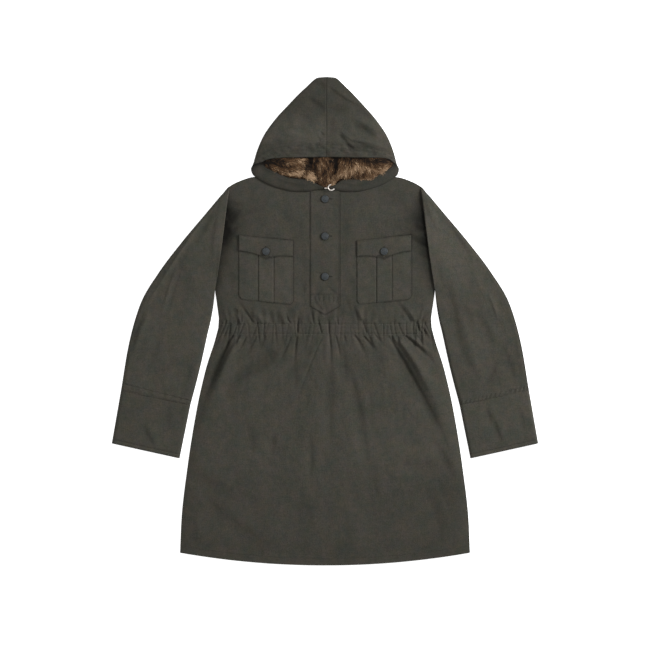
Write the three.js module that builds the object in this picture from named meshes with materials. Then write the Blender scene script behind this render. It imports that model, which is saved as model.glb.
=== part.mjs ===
import * as THREE from "three";

// Hooded pullover smock of cotton canvas, with a gathered waist, two chest pockets, a short
// button placket and a fur-lined hood. It lies flat on its back with its arms at its sides.
// Millimetres: X runs across it, +Y from the hem to the hood, +Z up from the surface it lies on.
// The origin is on that surface, at the middle of the outline.

// Driving dimensions
const CLOTH = 1.5; // wall of canvas
const SEAM_GAP = 0.3; // between pieces that are sewn edge to edge
const LAYER_GAP = 0.4; // between layers that lie on each other
const SHOULDER = { x: 218, y: 301 };
const ARMPIT = { x: 247, y: 66 };
const ARMHOLE_BOW = 13; // how far the armhole seam bows out under the sleeve
const HEM_CORNER_Y = -521;
const HEM_DROP = 28.5; // the hem is this much lower at the middle
const WAIST_TOP = -8; // upper stitching of the waist casing
const WAIST_BOTTOM = -30; // lower stitching of the waist casing
const GATHERS = 46; // puckers across the front at the waist
const FRONT_CROWN = 1.4; // how far the front stands off the back in the middle
const BUTTON_RADIUS = 9.5;
const FLAP_BUTTON_LEVEL = 156.8;
const PLACKET_BUTTONS = [{ name: "top", y: 275 }, { name: "middle", y: 191 }, { name: "low", y: 100.5 }];
const POCKET = { x: 132.8, halfWidth: 61.4, top: 187.6, bottom: 42.9, corner: 12, slope: 0.104 };
const FLAP_EDGE = 151.6; // lower edge of the pocket flap at its corners
const PLACKET = { halfWidth: 34.3, top: 297, shoulder: 33.4, tip: 13.6, thickness: 1.3 };
const SEAM_X = 3.4; // the hood's centre seam lies this far right of the middle
const HOOD_HALF = 166.5; // half width of the hood where it is widest
const CASING = { centre: 34, corner: 22, thickness: 1 }; // turned casing along the face opening
const RIDGE_HOLLOW = 0.5; // share of a ridge of the front that is hollow underneath
const NO_GATHERS = 0.17; // share of the half width, under the placket, that stays smooth

const BACK_TOP = CLOTH;
const FRONT_UNDER = BACK_TOP + SEAM_GAP;
const FRONT_TOP = FRONT_UNDER + CLOTH;

// Places down the armhole, as shares from the shoulder point to the armpit.
const ARMHOLE_SHARES = [0.02, 0.14, 0.32, 0.5, 0.68, 0.86, 0.98];

// Half width of the body below the armpit.
const BODY_SIDE = [
  { name: "armpit", y: 66, half: 247 },
  { name: "ribs", y: 38, half: 243 },
  { name: "waist", y: -2, half: 238.5 },
  { name: "top of skirt", y: -34, half: 245 },
  { name: "hip", y: -106, half: 267.5 },
  { name: "thigh", y: -196, half: 288 },
  { name: "middle of skirt", y: -322, half: 308.5 },
  { name: "low skirt", y: -448, half: 323 },
  { name: "hem", y: HEM_CORNER_Y, half: 326 },
];

// Upper edge of the body from the middle to the shoulder point: neckline, then shoulder seam.
const UPPER_EDGE = [
  { name: "middle", x: 0, front: 298.7, back: 320 },
  { name: "neck front", x: 56, front: 303.2, back: 322.6 },
  { name: "neck side front", x: 94.5, front: 312.2, back: 325.8 },
  { name: "neck point", x: 124, front: 327, back: 327 },
  { name: "shoulder", x: 164, front: 323.6, back: 323.6 },
  { name: "outer shoulder", x: 200, front: 311.5, back: 311.5 },
  { name: "shoulder point", x: SHOULDER.x, front: SHOULDER.y, back: SHOULDER.y },
];

// The largest folds of the front: soft ridges, or troughs where the height is negative.
const FRONT_FOLDS = [
  { name: "right hip ridge", x0: 152, y0: -42, x1: 288, y1: -262, width: 15, height: 4 },
  { name: "right hip trough", x0: 132, y0: -40, x1: 268, y1: -276, width: 10, height: -1.4 },
  { name: "right side ridge", x0: 196, y0: -40, x1: 262, y1: -100, width: 9, height: 3.4 },
  { name: "left hip ridge", x0: -196, y0: -40, x1: -262, y1: -195, width: 14, height: 3.8 },
  { name: "left hip trough", x0: -212, y0: -38, x1: -284, y1: -200, width: 9, height: -1.4 },
  { name: "left middle ridge", x0: -56, y0: -50, x1: -94, y1: -240, width: 10, height: 2.8 },
  { name: "middle ridge", x0: -12, y0: -42, x1: -10, y1: -262, width: 10, height: 2.2 },
  { name: "right middle ridge", x0: 46, y0: -46, x1: 74, y1: -292, width: 13, height: 3 },
  { name: "right slanted ridge", x0: 100, y0: -40, x1: 142, y1: -150, width: 10, height: 2.6 },
  { name: "low left ridge", x0: -246, y0: -360, x1: -92, y1: -508, width: 20, height: 3 },
  { name: "left armhole hollow", x0: -212, y0: 262, x1: -226, y1: 110, width: 24, height: -1.4 },
  { name: "right armhole hollow", x0: 212, y0: 262, x1: 226, y1: 110, width: 24, height: -1.4 },
  { name: "left blouson ridge", x0: -212, y0: 38, x1: -182, y1: -4, width: 9, height: 3 },
  { name: "right blouson ridge", x0: 222, y0: 42, x1: 212, y1: -2, width: 8, height: 3 },
  { name: "left of placket", x0: -58, y0: 34, x1: -54, y1: -4, width: 8, height: 2.4 },
  { name: "right of placket", x0: 60, y0: 44, x1: 72, y1: -4, width: 9, height: 2.6 },
];

// Flattened rings of the sleeve from the armhole to the cuff seam, right side.
const SLEEVE_SECTIONS = [
  { at: 0, outerX: 218.8, outerY: 301.4, innerX: 247.9, innerY: 65.4, loft: 2.9 },
  { at: 0.13, outerX: 265, outerY: 246, innerX: 250.3, innerY: 40, loft: 2.9 },
  { at: 0.3, outerX: 322, outerY: 178, innerX: 255.8, innerY: 6, loft: 2.9 },
  { at: 0.47, outerX: 373.5, outerY: 110, innerX: 264.5, innerY: -31, loft: 2.8 },
  { at: 0.63, outerX: 414, outerY: 42, innerX: 273.3, innerY: -72, loft: 2.8 },
  { at: 0.8, outerX: 441, outerY: -50, innerX: 286.3, innerY: -127, loft: 2.7 },
  { at: 1, outerX: 459, outerY: -156, innerX: 302.6, innerY: -188.5, loft: 2.6 },
];

const CUFF_SECTIONS = [
  { at: 0, outerX: 459.1, outerY: -156.4, innerX: 302.8, innerY: -188.9, loft: 2.6 },
  { at: 1, outerX: 479.7, outerY: -275, innerX: 327, innerY: -308.7, loft: 2.2 },
];

// Folds of the right sleeve, in shares of its length and of its width from the outer edge.
const SLEEVE_FOLDS = [
  { name: "beside outer seam", s0: 0.08, t0: 0.28, s1: 0.95, t1: 0.3, width: 0.08, height: -1.6 },
  { name: "below armhole", s0: 0.1, t0: 0.68, s1: 0.6, t1: 0.7, width: 0.1, height: -1.4 },
  { name: "elbow", s0: 0.5, t0: 0.82, s1: 0.98, t1: 0.55, width: 0.08, height: -1.5 },
];

// Half of the hood, from the centre seam round the corner of the mouth to the hook. Each row runs
// from the face opening over the outer fold, and back underneath to the neck seam.
const HOOD_MERIDIANS = [
  { name: "centre seam", rimX: 0, rimY: 368.4, foldX: 0, foldY: 549.5, endX: 0, endY: 321.4,
    rimZ: 15, midZ: 11, edgeZ: 4.2, underZ: 0 },
  { name: "crown", rimX: 14, rimY: 368.3, foldX: 22, foldY: 545.5, endX: 14, endY: 321.8,
    rimZ: 15.2, midZ: 11.2, edgeZ: 4.2, underZ: 0 },
  { name: "brow", rimX: 34, rimY: 367.9, foldX: 48, foldY: 523.5, endX: 34, endY: 323,
    rimZ: 15.8, midZ: 11.6, edgeZ: 4.2, underZ: 0 },
  { name: "outer brow", rimX: 56, rimY: 367.4, foldX: 83, foldY: 487.7, endX: 54, endY: 324.4,
    rimZ: 16.2, midZ: 12, edgeZ: 4.2, underZ: 0 },
  { name: "temple", rimX: 80, rimY: 367.3, foldX: 115, foldY: 451.7, endX: 74, endY: 326,
    rimZ: 16, midZ: 12, edgeZ: 4.2, underZ: 0 },
  { name: "side", rimX: 104, rimY: 366.3, foldX: 139.5, foldY: 415.7, endX: 94, endY: 328,
    rimZ: 14.2, midZ: 10.8, edgeZ: 4.2, underZ: 0 },
  { name: "low side", rimX: 124, rimY: 363, foldX: 154, foldY: 382, endX: 110, endY: 330.4,
    rimZ: 11.6, midZ: 9, edgeZ: 4.2, underZ: 0 },
  { name: "above corner", rimX: 140.6, rimY: 356.1, foldX: 162, foldY: 357, endX: 124, endY: 332.4,
    rimZ: 9.4, midZ: 7.6, edgeZ: 4.2, underZ: 0 },
  { name: "corner", rimX: 139.5, rimY: 351.2, foldX: HOOD_HALF, foldY: 343.7, endX: 127, endY: 332,
    rimZ: 8.4, midZ: 8, edgeZ: 5.4, underZ: 1.4 },
  { name: "below corner", rimX: 132, rimY: 344.5, foldX: 163.5, foldY: 331.3, endX: 125, endY: 329.4,
    rimZ: 8.2, midZ: 9, edgeZ: 7.4, underZ: 3.9 },
  { name: "shoulder", rimX: 118, rimY: 336.3, foldX: 150, foldY: 319.2, endX: 117, endY: 324.5,
    rimZ: 8.2, midZ: 9.2, edgeZ: 7.4, underZ: 3.9 },
  { name: "collar side", rimX: 98, rimY: 327.3, foldX: 126, foldY: 306, endX: 101, endY: 315.6,
    rimZ: 8.2, midZ: 9.2, edgeZ: 7.4, underZ: 3.9 },
  { name: "collar front", rimX: 78, rimY: 321.8, foldX: 98, foldY: 296.7, endX: 80, endY: 309.2,
    rimZ: 8.6, midZ: 9.6, edgeZ: 7.8, underZ: 4.1 },
  { name: "collar roll", rimX: 56, rimY: 319.9, foldX: 70, foldY: 291.8, endX: 58, endY: 304.2,
    rimZ: 9.4, midZ: 10.4, edgeZ: 8.8, underZ: 5.2 },
  { name: "beside placket", rimX: 36, rimY: 317.2, foldX: 44, foldY: 291.6, endX: 38, endY: 302,
    rimZ: 9.6, midZ: 10.6, edgeZ: 9, underZ: 5.5 },
  { name: "collar point", rimX: 19, rimY: 307, foldX: 22, foldY: 294.7, endX: 20, endY: 300.4,
    rimZ: 9.4, midZ: 9.8, edgeZ: 9, underZ: 5.5 },
  { name: "hook", rimX: 5, rimY: 301.4, foldX: 5, foldY: 295.8, endX: 5, endY: 298.4,
    rimZ: 9, midZ: 9.2, edgeZ: 8.9, underZ: 5.5 },
];

// Soft folds of the hood, one side at a time, as on the front.
const HOOD_FOLDS = [
  { name: "peak ridge", x0: 6, y0: 522, x1: 78, y1: 482, width: 9, height: 1.8 },
  { name: "left crown trough", x0: -50, y0: 492, x1: 8, y1: 462, width: 12, height: -1.8 },
  { name: "right side trough", x0: 58, y0: 430, x1: 118, y1: 408, width: 10, height: -2 },
  { name: "right side ridge", x0: 64, y0: 412, x1: 140, y1: 398, width: 9, height: 1.6 },
];

// Sections of one side roll of fur, and of the fur down the middle.
const FUR_BASE = 3.6; // underside of the fur, on the lining
const FUR_ROLL = [
  { x: 27, low: 318, high: 326, height: 2.5 },
  { x: 33, low: 319.4, high: 338, height: 5.5 },
  { x: 42, low: 322, high: 358, height: 7.8 },
  { x: 55, low: 322.4, high: 376, height: 9.4 },
  { x: 75, low: 323.8, high: 383, height: 9.8 },
  { x: 95, low: 329, high: 384, height: 8.8 },
  { x: 115, low: 337.4, high: 379, height: 6.2 },
  { x: 128, low: 345, high: 370, height: 3.6 },
  { x: 135, low: 350, high: 362, height: 1.8 },
];
const FUR_MIDDLE = [
  { y: 391, left: -46, right: 42, height: 3.6 },
  { y: 375, left: -43, right: 39, height: 5 },
  { y: 360, left: -37, right: 33, height: 5.6 },
  { y: 345, left: -29, right: 27, height: 5.8 },
  { y: 331, left: -22, right: 21, height: 5.6 },
  { y: 318, left: -17, right: 17, height: 5 },
  { y: 308, left: -10, right: 10, height: 4 },
  { y: 302.5, left: -4, right: 4, height: 2.6 },
];

const LINING_OUTLINE = [
  [0, 388], [80, 386], [110, 380], [130, 366], [134, 354], [127, 345.4], [112, 336.6], [96, 329.4],
  [80, 325], [62, 322.8], [46, 322.4], [31, 317.2], [18, 308], [4, 301.4],
];

const HOOK = { ringX: 14, ringY: 300.3, ringRadius: 6, wire: 1.2, height: 11.2 };

// Colours and finishes
const CANVAS = { color: 0x45433b, roughness: 0.88, metalness: 0 };
const FUR = { color: 0x6b5038, roughness: 0.95, metalness: 0 };
const PELT = { color: 0x33271c, roughness: 0.95, metalness: 0 };
const BUTTON_PAINT = { color: 0x464b4e, roughness: 0.5, metalness: 0.3 };
const WIRE = { color: 0xcfc6ba, roughness: 0.3, metalness: 0.9 };

const { lerp, smoothstep } = THREE.MathUtils;

// A smooth curve through one column of a table against another, with no overshoot between rows.
function through(rows, at, value) {
  const x = rows.map((r) => r[at]);
  const y = rows.map((r) => r[value]);
  const rise = x.slice(1).map((v, i) => (y[i + 1] - y[i]) / (v - x[i]));
  const slope = x.map((_, i) => {
    if (i === 0) return rise[0];
    if (i === x.length - 1) return rise[i - 1];
    const product = rise[i - 1] * rise[i];
    return product <= 0 ? 0 : (2 * product) / (rise[i - 1] + rise[i]);
  });
  const falling = x[x.length - 1] < x[0];
  return (v) => {
    let i = x.findIndex((end, k) => k > 0 && (falling ? v >= end : v <= end)) - 1;
    if (i < 0) i = x.length - 2;
    const span = x[i + 1] - x[i];
    const t = Math.min(1, Math.max(0, (v - x[i]) / span));
    const bend = t * (1 - t);
    const straight = y[i] + (y[i + 1] - y[i]) * t * t * (3 - 2 * t);
    return straight + span * bend * (slope[i] * (1 - t) - slope[i + 1] * t);
  };
}

// The height that a table of folds gives at a point.
function foldHeight(folds, x, y) {
  let total = 0;
  for (const f of folds) {
    const dx = f.x1 - f.x0;
    const dy = f.y1 - f.y0;
    const length = Math.hypot(dx, dy);
    const along = ((x - f.x0) * dx + (y - f.y0) * dy) / length ** 2;
    const away = ((x - f.x0) * dy - (y - f.y0) * dx) / length;
    const width = f.width * (0.75 + 0.5 * Math.min(1, Math.max(0, along)));
    const fade = smoothstep(along, -0.1, 0.18) * (1 - smoothstep(along, 0.55, 1.1));
    total += f.height * fade * Math.exp(-((away / width) ** 2));
  }
  return total;
}

// An uneven number from 0 to 1 that is always the same for the same index.
function uneven(index) {
  const v = Math.sin(index * 12.9898 + 4.1) * 43758.5453;
  return v - Math.floor(v);
}

// Solids from rows of points

class Solid {
  constructor() {
    this.points = [];
    this.faces = [];
  }

  // Takes a row of points and gives their numbers.
  row(points) {
    const first = this.points.length;
    this.points.push(...points);
    return points.map((_, i) => first + i);
  }

  // Triangles between two rows, whatever their counts, paired by their share of the length in plan.
  bridge(a, b, flip = false) {
    const share = (row) => {
      const out = [0];
      for (let i = 1; i < row.length; i += 1) {
        const [p, q] = [this.points[row[i - 1]], this.points[row[i]]];
        out.push(out[i - 1] + Math.hypot(p[0] - q[0], p[1] - q[1]) + 1e-6);
      }
      return out.map((v) => v / out[out.length - 1]);
    };
    const even = a.length === b.length;
    const [sa, sb] = even ? [a.map((_, i) => i), b.map((_, i) => i)] : [share(a), share(b)];
    let i = 0;
    let j = 0;
    while (i < a.length - 1 || j < b.length - 1) {
      const stepA = j === b.length - 1 || (i < a.length - 1 && sa[i + 1] <= sb[j + 1] + 1e-9);
      const face = stepA ? [a[i], a[i + 1], b[j]] : [a[i], b[j + 1], b[j]];
      this.faces.push(flip ? face.reverse() : face);
      if (stepA) i += 1;
      else j += 1;
    }
  }

  geometry() {
    const g = new THREE.BufferGeometry();
    g.setAttribute("position", new THREE.Float32BufferAttribute(this.points.flat(), 3));
    let volume = 0;
    for (const [a, b, c] of this.faces) {
      const [p, q, r] = [this.points[a], this.points[b], this.points[c]];
      volume += new THREE.Vector3(...p).dot(new THREE.Vector3(...q).cross(new THREE.Vector3(...r)));
    }
    const faces = volume < 0 ? this.faces.map(([a, b, c]) => [a, c, b]) : this.faces;
    g.setIndex(faces.flat());
    g.computeVertexNormals();
    return g;
  }
}

// A closed wall between two grids of points with the same outline.
function wall(outerRows, innerRows) {
  const solid = new Solid();
  const [outer, inner] = [outerRows, innerRows].map((rows) => rows.map((r) => solid.row(r)));
  const sides = (rows) => [
    rows[0],
    rows.map((r) => r[r.length - 1]),
    [...rows[rows.length - 1]].reverse(),
    rows.map((r) => r[0]).reverse(),
  ];
  for (let i = 1; i < outer.length; i += 1) solid.bridge(outer[i - 1], outer[i]);
  for (let i = 1; i < inner.length; i += 1) solid.bridge(inner[i - 1], inner[i], true);
  const [outerSides, innerSides] = [sides(outer), sides(inner)];
  outerSides.forEach((side, i) => solid.bridge(innerSides[i], side));
  return solid.geometry();
}

// A closed wall between two sets of rings, open at both ends.
function tube(outerRings, innerRings) {
  const solid = new Solid();
  const closed = (rings) => rings.map((r) => solid.row(r)).map((r) => [...r, r[0]]);
  const [outer, inner] = [closed(outerRings), closed(innerRings)];
  for (let i = 1; i < outer.length; i += 1) {
    solid.bridge(outer[i - 1], outer[i]);
    solid.bridge(inner[i - 1], inner[i], true);
  }
  solid.bridge(inner[0], outer[0]);
  solid.bridge(outer[outer.length - 1], inner[inner.length - 1]);
  return solid.geometry();
}

// A solid through closed rings, with flat ends.
function loft(rings) {
  const solid = new Solid();
  const rows = rings.map((r) => solid.row(r)).map((r) => [...r, r[0]]);
  for (let i = 1; i < rows.length; i += 1) solid.bridge(rows[i - 1], rows[i]);
  const middle = (ring) => [0, 1, 2].map((k) => ring.reduce((sum, p) => sum + p[k], 0) / ring.length);
  const [first] = solid.row([middle(rings[0])]);
  const [last] = solid.row([middle(rings[rings.length - 1])]);
  const end = rows[rows.length - 1];
  for (let i = 1; i < rows[0].length; i += 1) {
    solid.faces.push([first, rows[0][i], rows[0][i - 1]], [last, end[i - 1], end[i]]);
  }
  return solid.geometry();
}

// Sizes of the body

const sideHalf = through(BODY_SIDE, "y", "half");
const frontEdge = through(UPPER_EDGE, "x", "front");
const backEdge = through(UPPER_EDGE, "x", "back");

function armholeShare(y) {
  return (SHOULDER.y - y) / (SHOULDER.y - ARMPIT.y);
}

function bodyHalf(y) {
  if (y <= ARMPIT.y) return sideHalf(y);
  const t = armholeShare(Math.min(y, SHOULDER.y));
  return lerp(SHOULDER.x, ARMPIT.x, t) + ARMHOLE_BOW * Math.sin(Math.PI * t);
}

// How far the front stands off the back, at a share of the half width. A ridge is hollow by its
// hollow share; the rest of it is thicker cloth, as where a seam or a lining bunches up in it.
function frontLoft(u, x, y, level, hollow) {
  const edge = 1 - Math.abs(u) ** 8;
  const crown = FRONT_CROWN * (1 - smoothstep(level, 205, 285));
  const fold = crown > 0 ? foldHeight(FRONT_FOLDS, x, y) : 0;
  return edge * Math.max(0, crown + fold * (fold > 0 ? hollow : 1));
}

// Rows of the front from the neckline to the hem, close together where the waist is gathered.
const UPPER_LEVELS = [301, 284, 262, 232, 195, 150, 110, 74, 44];
const WAIST_LEVELS = [22, 6, WAIST_TOP, -19, WAIST_BOTTOM, -44, -62, -86];
const SKIRT_LEVELS = [-115, -155, -205, -265, -335, -410, -475, HEM_CORNER_Y];
const INNER_WAIST_LEVELS = [22, -19, -62];

// Share of the half width where the gather's valley, flanks and crest lie, four columns a gather.
const GATHER_VALLEYS = Array.from({ length: GATHERS + 1 }, (_, i) => {
  const shift = i === 0 || i === GATHERS ? 0 : 0.5 * (uneven(i) - 0.5);
  return -1 + (2 * (i + shift)) / GATHERS;
});

function gatherHeight(index, level) {
  const height = 1 + 1.2 * uneven(index + 100);
  const reach = 22 + 46 * uneven(index + 200);
  const above = 1 - smoothstep(level, WAIST_TOP, WAIST_TOP + reach * 0.7);
  const below = smoothstep(level, WAIST_BOTTOM - reach, WAIST_BOTTOM);
  const pinch = level === WAIST_TOP || level === WAIST_BOTTOM ? 0.55 : 1;
  return height * above * below * pinch;
}

// A point on the front: on its outside, raised by a lift, or on its inside.
function frontPoint(u, level, lift, inside = false) {
  const half = bodyHalf(level);
  const x = u * half;
  const topFade = smoothstep(level, 190, SHOULDER.y);
  const hemFade = 1 - smoothstep(level, HEM_CORNER_Y, -335);
  const y = level
    + (frontEdge(Math.abs(u) * SHOULDER.x) - SHOULDER.y) * topFade
    - HEM_DROP * (1 - u * u) * hemFade;
  const loft = frontLoft(u, x, y, level, inside ? RIDGE_HOLLOW : 1);
  return [x, y, (inside ? FRONT_UNDER : FRONT_TOP) + loft + lift];
}

// A plain row has a column at each valley, and above the waist at every other one.
function frontRow(level, inside) {
  const step = level > WAIST_TOP ? 2 : 1;
  return GATHER_VALLEYS.filter((_, i) => i % step === 0).map((u) => frontPoint(u, level, 0, inside));
}

function gatheredRow(level) {
  const row = [];
  for (let i = 0; i < GATHERS; i += 1) {
    const [a, b] = [GATHER_VALLEYS[i], GATHER_VALLEYS[i + 1]];
    const underPlacket = Math.abs(a + b) / 2 < NO_GATHERS && level > 0;
    const crest = underPlacket ? 0 : gatherHeight(i, level);
    [0, 0.5, 1, 0.5].forEach((share, k) => {
      row.push(frontPoint(lerp(a, b, k / 4), level, crest * share));
    });
  }
  row.push(frontPoint(1, level, 0));
  return row;
}

function front() {
  const outer = [
    ...UPPER_LEVELS.map((level) => frontRow(level, false)),
    ...WAIST_LEVELS.map((level) => gatheredRow(level)),
    ...SKIRT_LEVELS.map((level) => frontRow(level, false)),
  ];
  const levels = [...UPPER_LEVELS, ...INNER_WAIST_LEVELS, ...SKIRT_LEVELS];
  return wall(outer, levels.map((level) => frontRow(level, true)));
}

// The back lies flat: neckline, shoulders, armholes, sides and hem.
function back() {
  const side = [];
  for (const x of [0, 20, 40, 56, 75, 94.5, 110, 124, 144, 164, 182, 200, 210]) side.push([x, backEdge(x)]);
  for (const share of [0, ...ARMHOLE_SHARES, 1]) {
    const y = lerp(SHOULDER.y, ARMPIT.y, share);
    side.push([bodyHalf(y), y]);
  }
  for (let i = 1; i <= 18; i += 1) {
    const y = lerp(ARMPIT.y, HEM_CORNER_Y, i / 18);
    side.push([bodyHalf(y), y]);
  }
  for (let i = 1; i <= 9; i += 1) {
    const u = 1 - i / 9;
    side.push([u * bodyHalf(HEM_CORNER_Y), HEM_CORNER_Y - HEM_DROP * (1 - u * u)]);
  }
  const left = side.slice(1, -1).reverse().map(([x, y]) => [-x, y]);
  const shape = new THREE.Shape([...side, ...left].map(([x, y]) => new THREE.Vector2(x, y)));
  return new THREE.ExtrudeGeometry(shape, { depth: CLOTH, bevelEnabled: false });
}

// Top of the front under a point on the chest, between its rows as built.
function chestTop(x, y) {
  const levels = [...UPPER_LEVELS, ...WAIST_LEVELS];
  const heightAt = (level) => {
    const u = x / bodyHalf(level);
    const k = GATHER_VALLEYS.findIndex((v) => v >= u);
    const [a, b] = [GATHER_VALLEYS[k - 1], GATHER_VALLEYS[k]].map((v) => frontPoint(v, level, 0));
    const share = (x - a[0]) / (b[0] - a[0]);
    return [lerp(a[1], b[1], share), lerp(a[2], b[2], share)];
  };
  const rows = levels.map(heightAt);
  const i = Math.max(1, rows.findIndex((r) => r[0] <= y));
  return lerp(rows[i][1], rows[i - 1][1], Math.min(1, (y - rows[i][0]) / (rows[i - 1][0] - rows[i][0])));
}

// Placket: a strip with a pointed lower end, on the front.
function placket() {
  const columns = [-1, -0.66, -0.33, 0, 0.33, 0.66, 1];
  const levels = [PLACKET.top, ...UPPER_LEVELS.slice(1), PLACKET.shoulder];
  const point = (u, level, lift) => {
    const x = u * PLACKET.halfWidth;
    return [x, level, chestTop(x, level) + LAYER_GAP + lift];
  };
  const rows = (lift) => [
    ...levels.map((level) => columns.map((u) => point(u, level, lift))),
    columns.map((u) => point(u, lerp(PLACKET.tip, PLACKET.shoulder, Math.abs(u)) - 0.5, lift)),
  ];
  return wall(rows(PLACKET.thickness), rows(0));
}

// A patch pocket with rounded lower corners and a box pleat. Side is 1 on the right, -1 on the left.
const POCKET_COLUMNS = [-1, -0.86, -0.6, -0.3, -0.28, -0.26, -0.13, 0, 0.13, 0.26, 0.28, 0.3, 0.6, 0.86, 1];
const BAG_THICKNESS = 1.1;
const PLEAT_LIFT = 0.7;

function pocketPlace(u, v, side) {
  const rise = Math.min(POCKET.corner, v - POCKET.bottom);
  const inset = POCKET.corner - Math.sqrt(Math.max(0, POCKET.corner ** 2 - (POCKET.corner - rise) ** 2));
  const share = smoothstep(Math.abs(u), 0.55, 1);
  const across = u * POCKET.halfWidth - Math.sign(u) * inset * share;
  return [side * (POCKET.x + across), v + POCKET.slope * across];
}

function bagLift(u) {
  const pleat = Math.abs(u) < 0.27 ? PLEAT_LIFT : 0;
  const groove = Math.abs(Math.abs(u) - 0.28) < 0.001 ? -0.5 : 0;
  return BAG_THICKNESS + pleat + groove;
}

const BAG_LEVELS = [POCKET.top - 6, 150, 110, 80, POCKET.bottom + POCKET.corner, POCKET.bottom + 5,
  POCKET.bottom + 1.5, POCKET.bottom];

function pocketBag(side) {
  const rows = (lift) => BAG_LEVELS.map((v) => POCKET_COLUMNS.map((u) => {
    const [x, y] = pocketPlace(u, v, side);
    return [x, y, chestTop(x, y) + LAYER_GAP + lift(u)];
  }));
  return wall(rows(bagLift), rows(() => 0));
}

// The flap's lower edge dips from its corners to a blunt point in the middle.
const flapEdge = through([
  { u: 0, v: 139.5 }, { u: 0.12, v: 142.6 }, { u: 0.28, v: 146 }, { u: 0.6, v: 149.8 }, { u: 1, v: FLAP_EDGE },
], "u", "v");

function pocketFlap(side) {
  const rows = (thickness) => [0, 0.35, 0.7, 1].map((t) => POCKET_COLUMNS.map((u) => {
    const v = lerp(POCKET.top, flapEdge(Math.abs(u)), t);
    const [x, y] = pocketPlace(u, v, side);
    const overBag = BAG_THICKNESS + PLEAT_LIFT + LAYER_GAP;
    return [x, y, chestTop(x, y) + LAYER_GAP + overBag + thickness];
  }));
  return wall(rows(CLOTH - 0.2), rows(0));
}

// A dished metal button with a turned rim and a shank below it.
function button() {
  const r = BUTTON_RADIUS;
  const profile = [[0, 0], [r * 0.7, 0], [r, 1.2], [r * 0.95, 2.5], [r * 0.8, 2.5], [r * 0.45, 3.1], [0, 3.3]];
  const lathe = new THREE.LatheGeometry(profile.map(([x, y]) => new THREE.Vector2(x, y)), 18);
  return lathe.rotateX(Math.PI / 2);
}

// Sleeves and cuffs

// One flattened ring: over the top from the outer edge to the inner, and back underneath.
const TOP_SHARES = [0.02, 0.06, 0.12, 0.18, 0.25, 0.33, 0.42, 0.5, 0.58, 0.67, 0.75, 0.84, 0.92, 0.98];
const UNDER_SHARES = [...ARMHOLE_SHARES].reverse();
const EDGE_Z = CLOTH + 0.25; // height of the fold at a flattened edge
const FLAT_TUBE = 2 * CLOTH + 0.9; // least thickness of a flattened tube

function sleeveFold(s, t) {
  let total = 0;
  for (const f of SLEEVE_FOLDS) {
    const along = (s - f.s0) / (f.s1 - f.s0);
    const away = (t - lerp(f.t0, f.t1, along)) / f.width;
    const fade = smoothstep(along, 0, 0.25) * (1 - smoothstep(along, 0.6, 1));
    total += f.height * fade * Math.exp(-away * away);
  }
  return total;
}

function ring(sections, s, bow, nose, inset) {
  const at = (column) => through(sections, "at", column)(s);
  const outer = [at("outerX"), at("outerY")];
  const inner = [at("innerX"), at("innerY")];
  const width = Math.hypot(inner[0] - outer[0], inner[1] - outer[1]);
  const place = (t, out) => [lerp(outer[0], inner[0], t) + out, lerp(outer[1], inner[1], t)];
  const edge = inset / width;
  const squeeze = (t) => lerp(edge, 1 - edge, t);
  const topZ = (t) => FLAT_TUBE + at("loft") * (1 - Math.abs(2 * t - 1) ** 14) + sleeveFold(s, t) - inset;
  return [
    [...place(squeeze(0), 0), EDGE_Z],
    ...TOP_SHARES.map((t) => [...place(squeeze(t), 0), topZ(t) - (inset ? 0 : nose)]),
    [...place(squeeze(1), 0), EDGE_Z],
    ...UNDER_SHARES.map((t) => [...place(squeeze(t), bow * Math.sin(Math.PI * t)), inset]),
  ];
}

// Mirrors rows of points for the left side.
function sided(rows, side) {
  return rows.map((row) => row.map(([x, y, z]) => [side * x, y, z]));
}

function sleeve(side) {
  const shares = [0, 0.012, 0.06, 0.13, 0.22, 0.32, 0.43, 0.55, 0.67, 0.79, 0.9, 1];
  const rings = (inset) => shares.map((s) => {
    const bow = ARMHOLE_BOW * (1 - smoothstep(s, 0, 0.22));
    const nose = s === 0 ? 0.9 : 0;
    return ring(SLEEVE_SECTIONS, s, bow, nose, inset);
  });
  return tube(sided(rings(0), side), sided(rings(CLOTH), side));
}

function cuff(side) {
  const rings = (inset) => [0, 0.1, 0.5, 0.9, 1].map((s) => ring(CUFF_SECTIONS, s, 0, 0, inset));
  return tube(sided(rings(0), side), sided(rings(CLOTH), side));
}

// Hood

const MERIDIAN_COUNT = HOOD_MERIDIANS.length;
const hoodRows = HOOD_MERIDIANS.map((row, i) => ({ ...row, at: i / (MERIDIAN_COUNT - 1) }));
const hoodColumn = Object.fromEntries(
  ["rimX", "rimY", "foldX", "foldY", "endX", "endY", "rimZ", "midZ", "edgeZ", "underZ"].map(
    (column) => [column, through(hoodRows, "at", column)],
  ),
);
const CORNER_AT = 7 / (MERIDIAN_COUNT - 1); // the meridian just above the corner of the mouth

function casingWidth(t) {
  return lerp(CASING.centre, CASING.corner, Math.min(1, t / CORNER_AT));
}

// Height of the hood's upper layer at share s of the way from the rim to the fold.
function hoodTop(t, s, x, y) {
  const [a, b, c] = ["rimZ", "midZ", "edgeZ"].map((column) => hoodColumn[column](t));
  const smooth = a * (1 - s) * (1 - 2 * s) + b * 4 * s * (1 - s) + c * s * (2 * s - 1);
  return smooth + foldHeight(HOOD_FOLDS, x, y) * Math.sin(Math.PI * Math.min(1, s + 0.15)) ** 2;
}

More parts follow.
